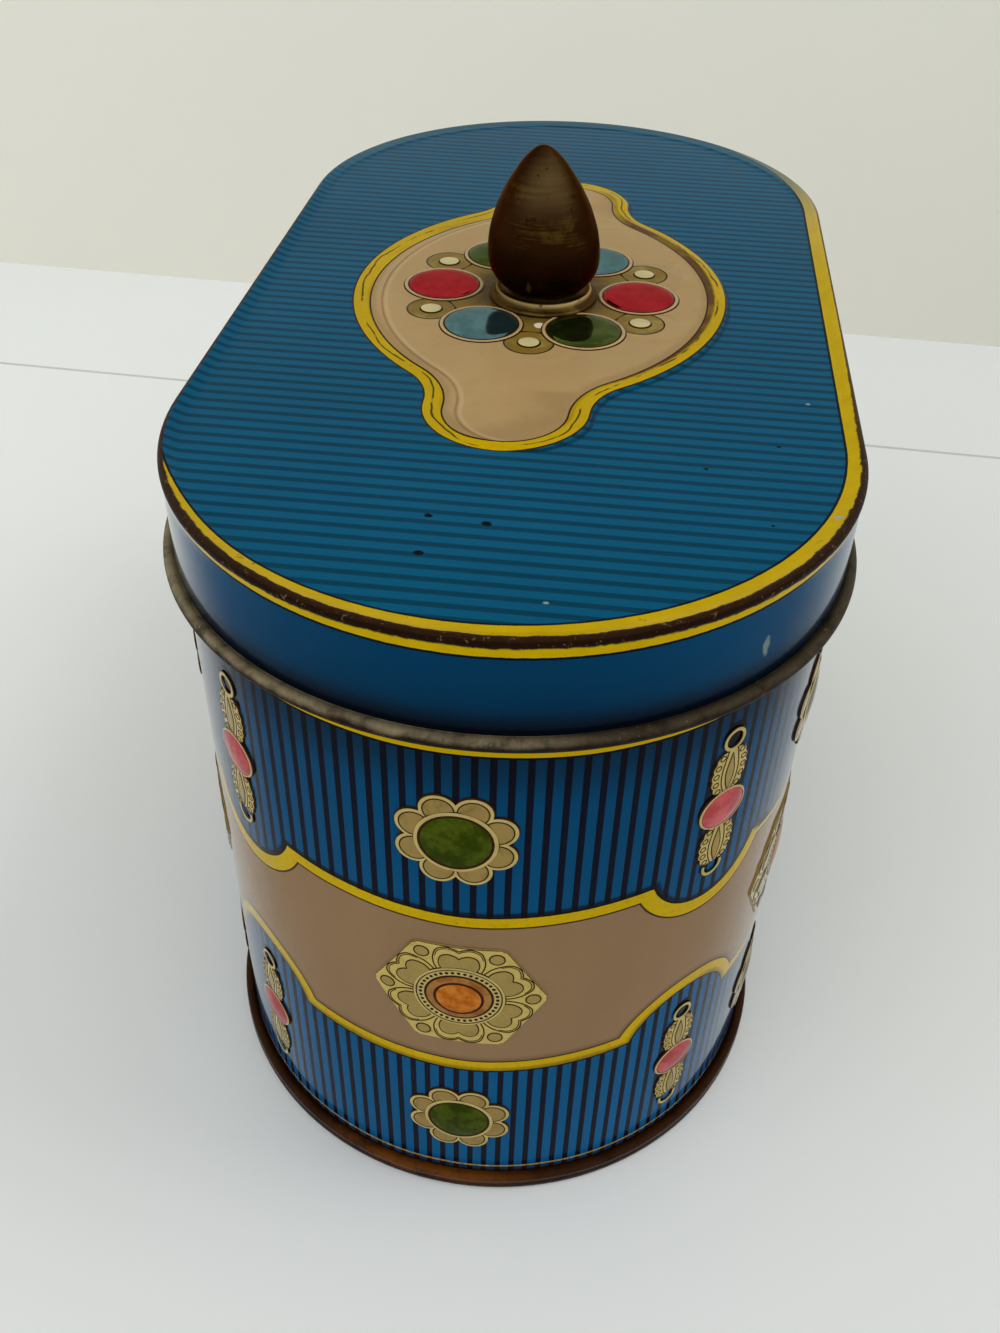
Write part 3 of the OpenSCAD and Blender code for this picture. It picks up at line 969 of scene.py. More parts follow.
@dataclass(frozen=True)
class Steel(Finish):
    """Plated steel of the fastening, dulled, with a little rust."""
    steel: Colour = paint(150, 148, 142)
    rust: Colour = paint(92, 54, 28)

    def paint(self, net: Paint) -> bpy.types.Material:
        """Builds the material's nodes."""
        where = net.body_place()
        fine = net.noise(where, 1.2, 4.0, 0.65)
        rust = net.rise(net.noise(where, 0.35, 4.0, 0.7), 0.54, 0.64)
        colour = net.tint(self.steel, fine * 0.5 + 0.72)
        colour = net.blend(rust * 0.7, colour, self.rust)
        return net.finish(
            Base_Color=colour,
            Metallic=0.95 - rust * 0.6,
            Roughness=fine * 0.2 + 0.28 + rust * 0.3,
            Normal=net.relief(fine, 0.3, 0.04),
        )


WALL_PRINT = WallPrint("wall_print")
LID_PRINT = LidPrint("lid_print")
FIELD_PRINT = FieldPrint("panel_field")
BORDER_PRINT = BorderPrint("panel_border")
BARE_TIN = BareTin("bare_tin")
ROLLED_EDGE = WornEdge("rolled_edge")
# The seam's painted highlight lies on its upper part and across its middle.
BASE_SEAM = WornEdge(
    "base_seam", brown=paint(98, 54, 12), dark=paint(24, 9, 2), bright=paint(92, 62, 26),
    rust=paint(26, 10, 3), top=(0.6, 2.4), broad=(-18.0, 9.0), metal=0.1, roughness=0.34,
)
LINE_INK = Ink("line_ink", paint(50, 28, 11), paint(24, 14, 6), 0.4)
SHADOW_INK = Ink("shadow_ink", paint(6, 7, 10), paint(14, 12, 10), 0.2)
GOLD_INK = Ink("gold_ink", paint(186, 164, 90), paint(140, 108, 40), 0.3)
PALE_GOLD_INK = Ink("pale_gold_ink", paint(180, 160, 98), paint(128, 98, 40), 0.3)
PETAL_INK = Ink("petal_ink", paint(144, 120, 68), paint(108, 82, 36), 0.5)
HEART_INK = Ink("heart_ink", paint(150, 128, 72), paint(112, 88, 42), 0.3)
PEARL_INK = Ink("pearl_ink", paint(198, 184, 132), paint(180, 162, 106), 0.3)
RING_INK = Ink("ring_ink", paint(184, 154, 106), paint(126, 92, 52), 0.3)
GREEN_JEWEL = Jewel("green_jewel", light=paint(74, 86, 20), deep=paint(46, 58, 6))
ORANGE_JEWEL = Jewel(
    "orange_jewel", light=paint(198, 122, 46), deep=paint(172, 88, 20), metal=0.6
)
AMBER_RIM = Jewel("amber_rim", light=paint(164, 116, 62), deep=paint(138, 82, 34), metal=0.5)
PINK_JEWEL = Jewel(
    "pink_jewel", light=paint(196, 88, 90), deep=paint(170, 66, 70), metal=0.6, sheen=1.0
)
LID_RED = Jewel("lid_red", light=paint(176, 46, 52), deep=paint(162, 38, 44), sheen=0.5)
LID_BLUE = Jewel("lid_blue", light=paint(92, 130, 136), deep=paint(78, 112, 118))
LID_GREEN = Jewel("lid_green", light=paint(80, 94, 44), deep=paint(60, 72, 26))
BUD_BRASS = AgedBrass("bud_brass")
COLLAR_BRASS = AgedBrass(
    "collar_brass", dark=paint(70, 51, 20), gold=paint(124, 98, 46), worn=0.5,
    rubbed_share=0.6, roughness=0.3, metal=0.85, front=(1.0, 2.0), rim=(7.92, 8.4),
)
PLATED_STEEL = Steel("plated_steel")

Step = tuple[float, float, Finish]


class Blank:
    """Mesh that is being built, in millimetres."""

    def __init__(self) -> None:
        """Starts empty."""
        self.points: list[Place] = []
        self.faces: list[tuple[int, ...]] = []
        self.finishes: list[Finish] = []

    def ring(self, points: Sequence[Place]) -> list[int]:
        """Adds points and gives their numbers."""
        first = len(self.points)
        self.points.extend(points)
        return list(range(first, len(self.points)))

    def face(self, corners: tuple[int, ...], finish: Finish) -> None:
        """Adds a face."""
        self.faces.append(corners)
        self.finishes.append(finish)

    def bridge(self, low: list[int], high: list[int], finish: Finish, closed: bool = True) -> None:
        """Joins two rings of as many points by four-sided faces."""
        count = len(low)
        for step in range(count if closed else count - 1):
            after = (step + 1) % count
            self.face((low[step], low[after], high[after], high[step]), finish)

    def fan(self, ring: list[int], centre: Place, finish: Finish, flip: bool = False) -> None:
        """Closes a ring by triangles to a point."""
        middle = self.ring([centre])[0]
        for step, corner in enumerate(ring):
            after = ring[(step + 1) % len(ring)]
            corners = (after, corner, middle) if flip else (corner, after, middle)
            self.face(corners, finish)

    def mound(self, rings: Sequence[Sequence[Place]], finishes: Sequence[Finish]) -> None:
        """Closed solid through rings that shrink, with a fan at its foot and at its top.

        Args:
            rings: the rings' points, from the foot up.
            finishes: the finish from each ring to the next, and last of the top.
        """
        numbers = [self.ring(ring) for ring in rings]
        self.fan(numbers[0], middle_of(rings[0]), finishes[0], flip=True)
        for step, finish in enumerate(finishes[:-1]):
            self.bridge(numbers[step], numbers[step + 1], finish)
        self.fan(numbers[-1], middle_of(rings[-1]), finishes[-1])

    def sweep(self, stations: Sequence[float], profile: Sequence[Step]) -> None:
        """Strip of a closed profile, along the flat sheet.

        Args:
            stations: places along the sheet.
            profile: anticlockwise corners as offset outwards, height, and the finish of
                the side that starts there.
        """
        rows = [
            self.ring([(place, -offset, height) for place in stations])
            for offset, height, _ in profile
        ]
        for step, (_, _, finish) in enumerate(profile):
            self.bridge(rows[step], rows[(step + 1) % len(rows)], finish, closed=False)

    def used(self) -> list[Finish]:
        """The finishes in the order in which they first come."""
        return list(dict.fromkeys(self.finishes))

    def piece(self, name: str, smooth: float = SHEET_SMOOTH) -> bpy.types.Object:
        """Makes the object.

        Args:
            name: the piece's name.
            smooth: largest angle between faces that are shaded as one.

        Returns:
            The object, with a material for each finish.
        """
        mesh = bpy.data.meshes.new(name)
        scaled = [(x * MM, y * MM, z * MM) for x, y, z in self.points]
        mesh.from_pydata(scaled, [], self.faces)
        kinds = self.used()
        numbers = [kinds.index(finish) for finish in self.finishes]
        mesh.polygons.foreach_set("material_index", numbers)
        for finish in kinds:
            mesh.materials.append(finish.material())
        tidy(mesh, smooth)
        return stood(name, mesh)


def stood(name: str, data: bpy.types.ID) -> bpy.types.Object:
    """Stands data in the scene as an object."""
    thing = bpy.data.objects.new(name, data)
    bpy.context.scene.collection.objects.link(thing)
    return thing


def middle_of(ring: Sequence[Place]) -> Place:
    """Mean of a ring's points."""
    return tuple(sum(point[axis] for point in ring) / len(ring) for axis in range(3))


def tidy(mesh: bpy.types.Mesh, smooth: float) -> None:
    """Welds doubled points and shades faces smooth up to an angle."""
    work = bmesh.new()
    work.from_mesh(mesh)
    bmesh.ops.remove_doubles(work, verts=work.verts, dist=WELD * MM)
    limit = math.radians(smooth)
    for edge in work.edges:
        edge.smooth = len(edge.link_faces) == 2 and edge.calc_face_angle(0.0) < limit
    for face in work.faces:
        face.smooth = True
    work.to_mesh(mesh)
    work.free()


def circle(centre: Point, radius: float, count: int, squash: float = 1.0) -> list[Point]:
    """Points round a circle or an upright oval, anticlockwise."""
    turns = [2 * math.pi * step / count for step in range(count)]
    return [
        (centre[0] + radius * math.cos(turn), centre[1] + radius * squash * math.sin(turn))
        for turn in turns
    ]


def turned(points: Sequence[Point], degrees: float) -> list[Point]:
    """Points turned about the origin."""
    cosine, sine = math.cos(math.radians(degrees)), math.sin(math.radians(degrees))
    return [(x * cosine - y * sine, x * sine + y * cosine) for x, y in points]


def moved(points: Sequence[Point], by: Point) -> list[Point]:
    """Points moved."""
    return [(x + by[0], y + by[1]) for x, y in points]


def grown(points: Sequence[Point], by: float) -> list[Point]:
    """Closed outline with each point moved outwards along its normal."""
    result = []
    for step, (x, y) in enumerate(points):
        before, after = points[step - 1], points[(step + 1) % len(points)]
        along = Vector((after[0] - before[0], after[1] - before[1])).normalized()
        result.append((x + by * along.y, y - by * along.x))
    return result


def curve(corners: Sequence[Point], steps: int) -> list[Point]:
    """Smooth line through corners, with as many points on each span as it has steps."""
    last = len(corners) - 1
    result = []
    for span in range(last):
        picked = [corners[min(max(span + step, 0), last)] for step in (-1, 0, 1, 2)]
        result += [spline(picked, step / steps) for step in range(steps)]
    return [*result, corners[-1]]


def spline(corners: Sequence[Point], share: float) -> Point:
    """Point between the middle two of four corners."""
    weights = (
        -0.5 * share + share**2 - 0.5 * share**3,
        1 - 2.5 * share**2 + 1.5 * share**3,
        0.5 * share + 2 * share**2 - 1.5 * share**3,
        -0.5 * share**2 + 0.5 * share**3,
    )
    return tuple(
        sum(weight * corner[axis] for weight, corner in zip(weights, corners)) for axis in (0, 1)
    )


def raised(points: Sequence[Point], height: float) -> list[Place]:
    """Outline stood on the sheet at a height above it, pressed as low as the real ornament."""
    return [(x, -height * PRESSED, z) for x, z in points]


def profile(*runs: tuple[Finish, Sequence[Point]]) -> list[Step]:
    """Steps or corners from runs of points, each run with its finish."""
    return [(x, z, finish) for finish, points in runs for x, z in points]


class Ornament(Blank):
    """Blank of an ornament that is pressed and printed on the sheet, round its middle."""

    foot = -0.3
    ink_depth = 0.12

    def pad(
        self, outline: Sequence[Point], steps: Sequence[Step], top: Finish, rings: int = 0
    ) -> None:
        """Raised pad.

        Args:
            outline: its outline, anticlockwise.
            steps: how far inside the outline each step is, its height, and the finish of
                the side that leads up to it.
            top: the finish of its top.
            rings: rings that divide the top, so that it bends with the wall.
        """
        inset, _, first = steps[0]
        layers = [raised(grown(outline, -inset), self.foot)]
        finishes = [first]
        for inset, height, finish in steps:
            layers.append(raised(grown(outline, -inset), height))
            finishes.append(finish)
        centre = middle_of(layers[-1])
        for step in range(1, rings + 1):
            share = 1 - step / (rings + 1)
            last = layers[len(steps)]
            layers.append([blend_point(centre, point, share) for point in last])
            finishes.append(top)
        self.mound(layers, [*finishes[1:], top])

    def line(
        self, points: Sequence[Point], width: float, height: float, ink: Finish, closed: bool = False
    ) -> None:
        """Printed line as a thin strip.

        Args:
            points: the line.
            width: its width.
            height: height of its top above the sheet.
            ink: its finish.
            closed: true for a loop.
        """
        count = len(points)
        left, right = [], []
        for step, (x, y) in enumerate(points):
            before = points[step - 1] if closed or step else points[0]
            after = points[(step + 1) % count] if closed else points[min(step + 1, count - 1)]
            along = Vector((after[0] - before[0], after[1] - before[1])).normalized()
            aside = (along.y * width / 2, -along.x * width / 2)
            right.append((x + aside[0], y + aside[1]))
            left.append((x - aside[0], y - aside[1]))
        sunk = height - self.ink_depth
        rows = [
            self.ring(raised(side, level))
            for side, level in ((left, height), (left, sunk), (right, sunk), (right, height))
        ]
        for step in range(4):
            self.bridge(rows[(step + 1) % 4], rows[step], ink, closed)
        if not closed:
            self.face(tuple(row[0] for row in rows), ink)
            self.face(tuple(row[-1] for row in reversed(rows)), ink)

    def turned_part(
        self, centre: Point, steps: Sequence[Step], count: int, squash: float = 1.0
    ) -> None:
        """Round part with a profile, such as a jewel in its ring.

        Args:
            centre: its middle.
            steps: radius, height, and the finish of the side that leads up to it.
            count: points round it.
            squash: its height over its width.
        """
        layers = [raised(circle(centre, steps[0][0], count, squash), self.foot)]
        layers += [
            raised(circle(centre, radius, count, squash), height) for radius, height, _ in steps
        ]
        finishes = [finish for _, _, finish in steps]
        self.mound(layers, [*finishes, finishes[-1]])


def blend_point(first: Place, second: Place, share: float) -> Place:
    """Point between two others."""
    return tuple(a + (b - a) * share for a, b in zip(first, second))


def dome(radius: float, low: float, high: float, finish: Finish) -> list[Step]:
    """Steps of a low dome from its edge to near its middle."""
    shares = (1.0, 0.92, 0.8, 0.62, 0.42, 0.2)
    return [(radius * share, low + (high - low) * (1 - share**2), finish) for share in shares]


@dataclass
class Flower:
    """Gold flower with a green jewel."""
    petals: int = 8
    petal: float = 2.75
    ring: float = 6.25
    inner_petal: float = 2.15
    jewel: float = 4.85
    top: float = 0.55

    def outline(self, count: int) -> list[Point]:
        """Scalloped outline."""
        points = []
        for step in range(count):
            turn = 2 * math.pi * step / count
            share = (turn / (2 * math.pi) * self.petals) % 1.0 - 0.5
            off = share * 2 * math.pi / self.petals
            reach = self.petal**2 - (self.ring * math.sin(off)) ** 2
            radius = self.ring * math.cos(off) + math.sqrt(max(reach, 0.02))
            points.append((radius * math.cos(turn), radius * math.sin(turn)))
        return points

    def blank(self) -> Ornament:
        """Builds the flower."""
        made = Ornament()
        edge = [(-0.14, 0.06), (-0.04, 0.4), (0.05, 0.5)]
        steps = profile((LINE_INK, edge), (PALE_GOLD_INK, [(0.16, self.top)]))
        made.pad(self.outline(144), steps, PALE_GOLD_INK, rings=3)
        for petal in range(self.petals):
            turn = (petal + 0.5) * 360 / self.petals
            middle = turned([(self.ring - 0.05, 0.0)], turn)[0]
            steps = dome(self.inner_petal, self.top + 0.03, self.top + 0.16, PETAL_INK)
            made.turned_part(middle, steps, 24)
            rim = circle(middle, self.inner_petal, 24)
            made.line(rim, 0.2, self.top + 0.06, LINE_INK, closed=True)
        steps = profile(
            (LINE_INK, [(5.95, 0.56), (5.82, 0.74)]),
            (PALE_GOLD_INK, [(5.66, 0.86), (5.45, 0.93), (5.28, 0.84)]),
            (LINE_INK, [(5.12, 0.76), (self.jewel, 0.8)]),
        )
        made.turned_part((0.0, 0.0), steps + dome(self.jewel, 0.8, 1.38, GREEN_JEWEL)[1:], 64)
        return made


@dataclass
class Plaque:
    """Hexagonal plaque with six hearts round an orange jewel."""
    apothem: float = 11.95
    bevel: float = 0.8
    top: float = 0.5
    hearts: int = 6
    inner_heart: Sequence[float] = (3.1, 6.4, 8.4, 10.1, 9.3)
    outer_heart: Sequence[float] = (3.95, 6.0, 9.2, 11.75, 11.1)
    shade_heart: Sequence[float] = (3.7, 6.2, 9.0, 11.4, 10.7)
    beads: int = 40
    bead_ring: float = 5.95

    def outline(self, count: int) -> list[Point]:
        """Hexagon with a corner on each side and rounded corners."""
        points = []
        for step in range(count):
            turn = 2 * math.pi * step / count
            off = (turn + math.pi / 6) % (math.pi / 3) - math.pi / 6
            side = abs(off) - math.pi / 6
            reach = self.apothem / math.cos(side)
            corner = self.apothem / math.cos(math.pi / 6)
            limit = corner - self.bevel * (1 - min(abs(off) / 0.05, 1.0)) * 0.5
            points.append((min(reach, limit) * math.cos(turn), min(reach, limit) * math.sin(turn)))
        return points

    def heart(
        self, half: float, low: float, shoulder: float, top: float, notch: float
    ) -> list[Point]:
        """Heart that points to the plaque's middle, as a closed outline along +X.

        Args:
            half: half its width.
            low: how far from the plaque's middle it starts.
            shoulder: how far its widest place is.
            top: how far its two lobes reach.
            notch: how far the notch between them lies.

        Returns:
            Its points.
        """
        side = [
            (low, half * 0.82),
            (low + (shoulder - low) * 0.5, half * 0.97),
            (shoulder, half),
            (shoulder + (top - shoulder) * 0.72, half * 0.86),
            (top, half * 0.5),
            (notch + (top - notch) * 0.55, half * 0.16),
        ]
        corners = side + [(notch, 0.0)] + [(x, -y) for x, y in reversed(side)]
        return list(reversed(curve(corners, 4)))

    def blank(self) -> Ornament:
        """Builds the plaque."""
        made = Ornament()
        steps = [(-0.06, 0.05, LINE_INK), (0.04, 0.36, PETAL_INK), (0.12, 0.46, LINE_INK)]
        steps += [(0.22, self.top, GOLD_INK)]
        made.pad(self.outline(180), steps, GOLD_INK, rings=7)
        for heart in range(self.hearts):
            turn = (heart + 0.5) * 360 / self.hearts
            inner = turned(self.heart(*self.inner_heart), turn)
            outer = turned(self.heart(*self.outer_heart), turn)
            shade = turned(self.heart(*self.shade_heart), turn)
            made.pad(inner, profile((HEART_INK, [(0.0, 0.6), (0.25, 0.66)])), HEART_INK, rings=1)
            made.line(inner, 0.17, 0.64, LINE_INK, closed=True)
            made.line(outer, 0.2, 0.58, LINE_INK, closed=True)
            made.line(shade[9:-9], 0.14, 0.57, LINE_INK)
            corner = turned([(11.35, 0.0)], turn + 30)[0]
            made.turned_part(corner, dome(1.15, 0.56, 0.66, HEART_INK), 20)
            made.line(circle(corner, 1.15, 20), 0.2, 0.62, LINE_INK, closed=True)
        steps = profile(
            (LINE_INK, [(7.25, 0.52), (7.08, 0.68)]),
            (PALE_GOLD_INK, [(6.98, 0.72), (6.72, 0.74)]),
            (LINE_INK, [(6.6, 0.7), (6.5, 0.7)]),
            (PALE_GOLD_INK, [(5.4, 0.7)]),
            (LINE_INK, [(5.2, 0.72), (5.0, 0.78)]),
            (AMBER_RIM, [(4.4, 0.98), (3.9, 1.08)]),
            (LINE_INK, [(3.45, 1.13)]),
            (ORANGE_JEWEL, [(3.0, 1.22), (2.0, 1.32), (1.0, 1.37)]),
        )
        made.turned_part((0.0, 0.0), steps, 72)
        for bead in range(self.beads):
            middle = turned([(self.bead_ring, 0.0)], bead * 360 / self.beads)[0]
            made.turned_part(middle, profile((LINE_INK, [(0.3, 0.73), (0.26, 0.78)])), 8)
        return made


@dataclass
class Pendant:
    """Gold pendant of two scrolled leaves, a pink jewel and a link at each end."""
    leaf_middle: float = 7.4
    leaf_half: float = 4.05
    leaf_width: float = 3.45
    top: float = 0.5
    link: float = 1.75
    link_place: float = 13.3
    crescent_place: float = -12.4
    loops: int = 5

    def bulge(self, share: float) -> float:
        """Half a leaf's width without its waves, from -1 at its lower end to 1 at its upper."""
        return 1.55 + (self.leaf_width - 1.8) * (1 - share**2) ** 0.6

    def leaf(self, count: int) -> list[Point]:
        """Outline of a leaf with wavy sides."""
        side = []
        for step in range(count + 1):
            share = step / count * 2 - 1
            wave = 0.26 * abs(math.sin(math.pi * self.loops * step / count))
            side.append((self.bulge(share) + wave, share * self.leaf_half))
        return side + [(-x, y) for x, y in reversed(side)]

    def add_leaf(self, made: Ornament, height: float) -> None:
        """Adds a leaf at a height above or below the jewel."""
        at = (0.0, height)
        edge = [(-0.12, 0.05), (0.0, 0.34), (0.1, 0.44)]
        steps = profile((LINE_INK, edge), (PALE_GOLD_INK, [(0.22, self.top)]))
        made.pad(moved(self.leaf(40), at), steps, PALE_GOLD_INK, rings=2)
        blade = curve([(0.0, -3.7), (0.62, -1.7), (0.72, 0.4), (0.0, 3.5)], 6)
        blade += curve([(0.0, 3.5), (-0.72, 0.4), (-0.62, -1.7), (0.0, -3.7)], 6)[1:-1]
        made.pad(moved(blade, at), profile((HEART_INK, [(0.0, 0.56), (0.15, 0.6)])), HEART_INK)
        made.line(moved(blade, at), 0.18, 0.59, LINE_INK, closed=True)
        vein = curve([(0.55, -4.1), (1.35, -2.0), (1.5, 0.6), (0.9, 4.0)], 8)
        for side in (-1, 1):
            spine = [(side * x, y) for x, y in vein]
            made.line(moved(spine, at), 0.17, 0.57, LINE_INK)
            for loop in range(self.loops):
                share = (loop + 0.5) / self.loops * 2 - 1
                middle = (side * (self.bulge(share) - 0.62), height + share * self.leaf_half)
                eye = circle(middle, 0.52, 12, 0.85)
                made.line(eye, 0.15, 0.58, LINE_INK, closed=True)
                made.turned_part(middle, dome(0.4, 0.5, 0.62, GOLD_INK), 10)

    def add_link(self, made: Ornament, height: float, opening: float) -> None:
        """Adds a ring, or a crescent where it has an opening in degrees."""
        first = -90 if height > 0 else 90
        spread = 360 - opening
        steps = 30
        middles = [
            turned([(self.link, 0.0)], first + (step / steps - 0.5) * spread + 180)[0]
            for step in range(steps + (1 if opening else 0))
        ]
        path = moved(middles, (0.0, height))
        made.line(path, 0.8, 0.34, LINE_INK, not opening)
        made.line(path, 0.5, 0.44, PALE_GOLD_INK, not opening)

    def blank(self) -> Ornament:
        """Builds the pendant."""
        made = Ornament()
        shadow = moved(circle((0.0, 0.0), 2.1, 28), (0.15, self.link_place + 0.95))
        made.pad(shadow, profile((SHADOW_INK, [(0.0, 0.03), (0.3, 0.04)])), SHADOW_INK)
        shadow = moved(circle((0.0, 0.0), 4.5, 40, 0.84), (-0.1, 0.75))
        steps = profile((SHADOW_INK, [(0.0, 0.05), (0.5, 0.06)]))
        made.pad(shadow, steps, SHADOW_INK, rings=1)
        self.add_leaf(made, self.leaf_middle)
        self.add_leaf(made, -self.leaf_middle)
        self.add_link(made, self.link_place, 0.0)
        self.add_link(made, self.crescent_place, 150.0)
        steps = profile(
            (LINE_INK, [(4.55, 0.3), (4.45, 0.55)]),
            (RING_INK, [(4.3, 0.68), (4.08, 0.66)]),
            (LINE_INK, [(3.98, 0.62)]),
        )
        made.turned_part((0.0, 0.0), steps + dome(3.9, 0.66, 1.3, PINK_JEWEL), 48, 0.84)
        return made


class Stations(Enum):
    """Which places round the wall an ornament stands on."""
    PENDANTS = 0.0
    PANELS = 0.5


class RollTree:
    """Geometry Nodes tree that sets out a blank along the sheet and rolls it round the tin."""

    def __init__(self, name: str, finishes: Sequence[Finish]) -> None:
        """Starts the tree.

        Args:
            name: the tree's name.
            finishes: the blank's finishes, in the order of its materials.
        """
        self.tree = bpy.data.node_groups.new(name, "GeometryNodeTree")
        self.net = Net(self.tree)
        self.finishes = finishes
        self.sockets: dict[str, str] = {}
        self.socket("Blank", "INPUT", "Geometry")
        self.socket("Piece", "OUTPUT", "Geometry")
        self.entry = self.tree.nodes.new("NodeGroupInput")

    def socket(self, name: str, way: str, kind: str) -> bpy.types.NodeTreeInterfaceSocket:
        """Adds an input or an output to the tree."""
        kind = f"NodeSocket{kind}"
        return self.tree.interface.new_socket(name=name, in_out=way, socket_type=kind)

    def number(self, name: str) -> Wire:
        """Adds a named input for a number."""
        self.sockets[name] = self.socket(name, "INPUT", "Float").identifier
        return self.given(name)

    def given(self, name: str) -> Wire:
        """What comes in by an input."""
        return Wire(self.net, self.entry.outputs[name])

    def set_out(self, blank: Wire, per_row: int, rows: int) -> Wire:
        """Copies the blank to its stations.

        Args:
            blank: the ornament round its middle.
            per_row: stations round the tin.
            rows: rows, one above the other.

        Returns:
            The copies, made real.
        """
        net = self.net
        first, step = self.number("First station"), self.number("Station pitch")
        ends, back = self.number("Less at the ends"), self.number("Back to the panel")
        low, rise = self.number("Lowest row"), self.number("Row pitch")
        slide = self.number("Row slide")
        index = net.wire("GeometryNodeInputIndex")
        row = net.math("FLOOR", (index + 0.5) / float(per_row))
        turn = index - row * float(per_row)
        past = net.math("GREATER_THAN", turn, per_row / 2 - 0.5)
        opens = net.math("COMPARE", turn - past * (per_row / 2), 0.0, SAME)
        station = first + turn * step - past * ends + row * slide
        station = station - back * (step - opens * ends)
        places = net.wire(
            "GeometryNodePoints",
            None,
            {"Count": per_row * rows, "Position": net.vector(station, 0.0, low + row * rise)},
        )
        copies = net.wire("GeometryNodeInstanceOnPoints", None, {"Points": places, "Instance": blank})
        return net.wire("GeometryNodeRealizeInstances", None, {"Geometry": copies})

    def roll(self, sheet: Wire) -> None:
        """Rolls the flat sheet round the tin, keeps its flat place, and ends the tree."""
        net = self.net
        radius, straight = self.number("Wall radius"), self.number("Straight side")
        shift, waver = self.number("Pattern shift"), self.number("Waviness")
        position = net.wire("GeometryNodeInputPosition")
        along, inwards, height = net.parts(position)
        mm = net.scaled(position, (1 / MM, 1 / MM, 1 / MM))
        kept = net.wire(
            "GeometryNodeStoreNamedAttribute",
            {"data_type": "FLOAT_VECTOR", "domain": "CORNER"},
            {"Geometry": sheet, "Name": "sheet", "Value": mm},
        )
        arc = radius * (math.pi / 2)
        half = arc * 2.0 + straight
        place = net.math("WRAP", along + shift, half, -half)
        reach = abs(place)
        side = net.math("SIGN", place)
        bend = net.least(reach, arc) + net.most(reach - arc - straight, 0.0)
        angle = bend / radius
        slide = net.least(net.most(reach - arc, 0.0), straight) - straight / 2.0
        waves = net.noise(net.vector(angle * side * 3.0, slide * 24.0, height * 22.0), 1.0, 1.5)
        out = radius - inwards + (waves - 0.5) * waver
        rolled = net.vector(
            side * net.math("SINE", angle) * out,
            slide - net.math("COSINE", angle) * out,
            height,
        )
        placed = net.wire("GeometryNodeSetPosition", None, {"Geometry": kept, "Position": rolled})
        welded = net.wire(
            "GeometryNodeMergeByDistance", None, {"Geometry": placed, "Distance": ROLL_WELD * MM}
        )
        made = net.wire("GeometryNodeRealizeInstances", None, {"Geometry": welded})
        number = net.wire("GeometryNodeInputMaterialIndex")
        for step, finish in enumerate(self.finishes):
            chosen = net.math("COMPARE", number, float(step), SAME)
            made = net.wire(
                "GeometryNodeSetMaterial",
                None,
                {"Geometry": made, "Selection": chosen, "Material": finish.material()},
            )
        self.net.node("NodeGroupOutput", None, {0: made})

    def form(
        self, blank: bpy.types.Object, sizes: Mapping[str, float], smooth: float
    ) -> bpy.types.Object:
        """Runs the tree on a blank and keeps the result as a plain mesh.

        Args:
            blank: the flat piece, which is removed.
            sizes: the tree's inputs by name.
            smooth: largest angle between faces that are shaded as one.

        Returns:
            The rolled piece under the blank's name.
        """
        name = blank.name
        modifier = blank.modifiers.new("roll", "NODES")
        modifier.node_group = self.tree
        for label, size in sizes.items():
            modifier[self.sockets[label]] = size
        graph = bpy.context.evaluated_depsgraph_get()
        mesh = bpy.data.meshes.new_from_object(blank.evaluated_get(graph))
        blank.modifiers.clear()
        flat = blank.data
        bpy.data.objects.remove(blank)
        bpy.data.meshes.remove(flat)
        mesh.name = name
        tidy(mesh, smooth)
        return stood(name, mesh)


def roll_sizes(shift: float, waver: float) -> dict[str, float]:
    """Inputs of every rolling tree, from how far its pattern is moved and how uneven it is."""
    return {
        "Wall radius": FORM.radius * MM,
        "Straight side": FORM.straight * MM,
        "Pattern shift": shift * MM,
        "Waviness": waver * MM,
    }


def rolled(blank: Blank, name: str, shift: float = 0.0, waver: float = 0.0) -> bpy.types.Object:
    """Rolls a blank that goes right round the tin.

    Args:
        blank: the flat piece.
        name: the piece's name.
        shift: how far its pattern is moved along the sheet.
        waver: how uneven the sheet is.

    Returns:
        The piece.
    """
    tree = RollTree(f"roll_{name}", blank.used())
    tree.roll(tree.given("Blank"))
    return tree.form(blank.piece(name), roll_sizes(shift, waver), SHEET_SMOOTH)


@dataclass(frozen=True)
class Rank:
    """Rows in which an ornament stands round the tin."""
    stations: Stations
    low: float
    pitch: float = 0.0
    count: int = 1
    slide: float = 0.0


def set_round(blank: Blank, name: str, rank: Rank) -> bpy.types.Object:
    """Sets an ornament out round the tin and rolls it.

    Args:
        blank: the ornament.
        name: the piece's name.
        rank: the rows that it stands in.

    Returns:
        The piece, all ornaments of one kind.
    """
    tree = RollTree(f"set_{name}", blank.used())
    per_row = 2 * (FORM.side_panels + 1)
    tree.roll(tree.set_out(tree.given("Blank"), per_row, rank.count))
    sizes = {
        "First station": FORM.pendant_place * MM,
        "Station pitch": FORM.panel_pitch * MM,
        "Less at the ends": (FORM.panel_pitch - 2 * FORM.pendant_place) * MM,
        "Back to the panel": rank.stations.value,
        "Lowest row": rank.low * MM,
        "Row pitch": rank.pitch * MM,
        "Row slide": rank.slide * MM,
        **roll_sizes(FORM.shift, WALL_WAVER),
    }
    return tree.form(blank.piece(name), sizes, ORNAMENT_SMOOTH)


def sheet_stations(pitch: float = 2.2) -> list[float]:
    """Places along the whole flat sheet, with one at each end of every bend."""
    half, arc = FORM.half_round, FORM.arc
    marks = [-half, arc - half, -arc, 0.0, arc, half - arc, half]
    places = []
    for start, end in zip(marks, marks[1:]):
        count = max(round((end - start) / pitch), 1)
        places += [start + (end - start) * step / count for step in range(count)]
    return [*places, half]


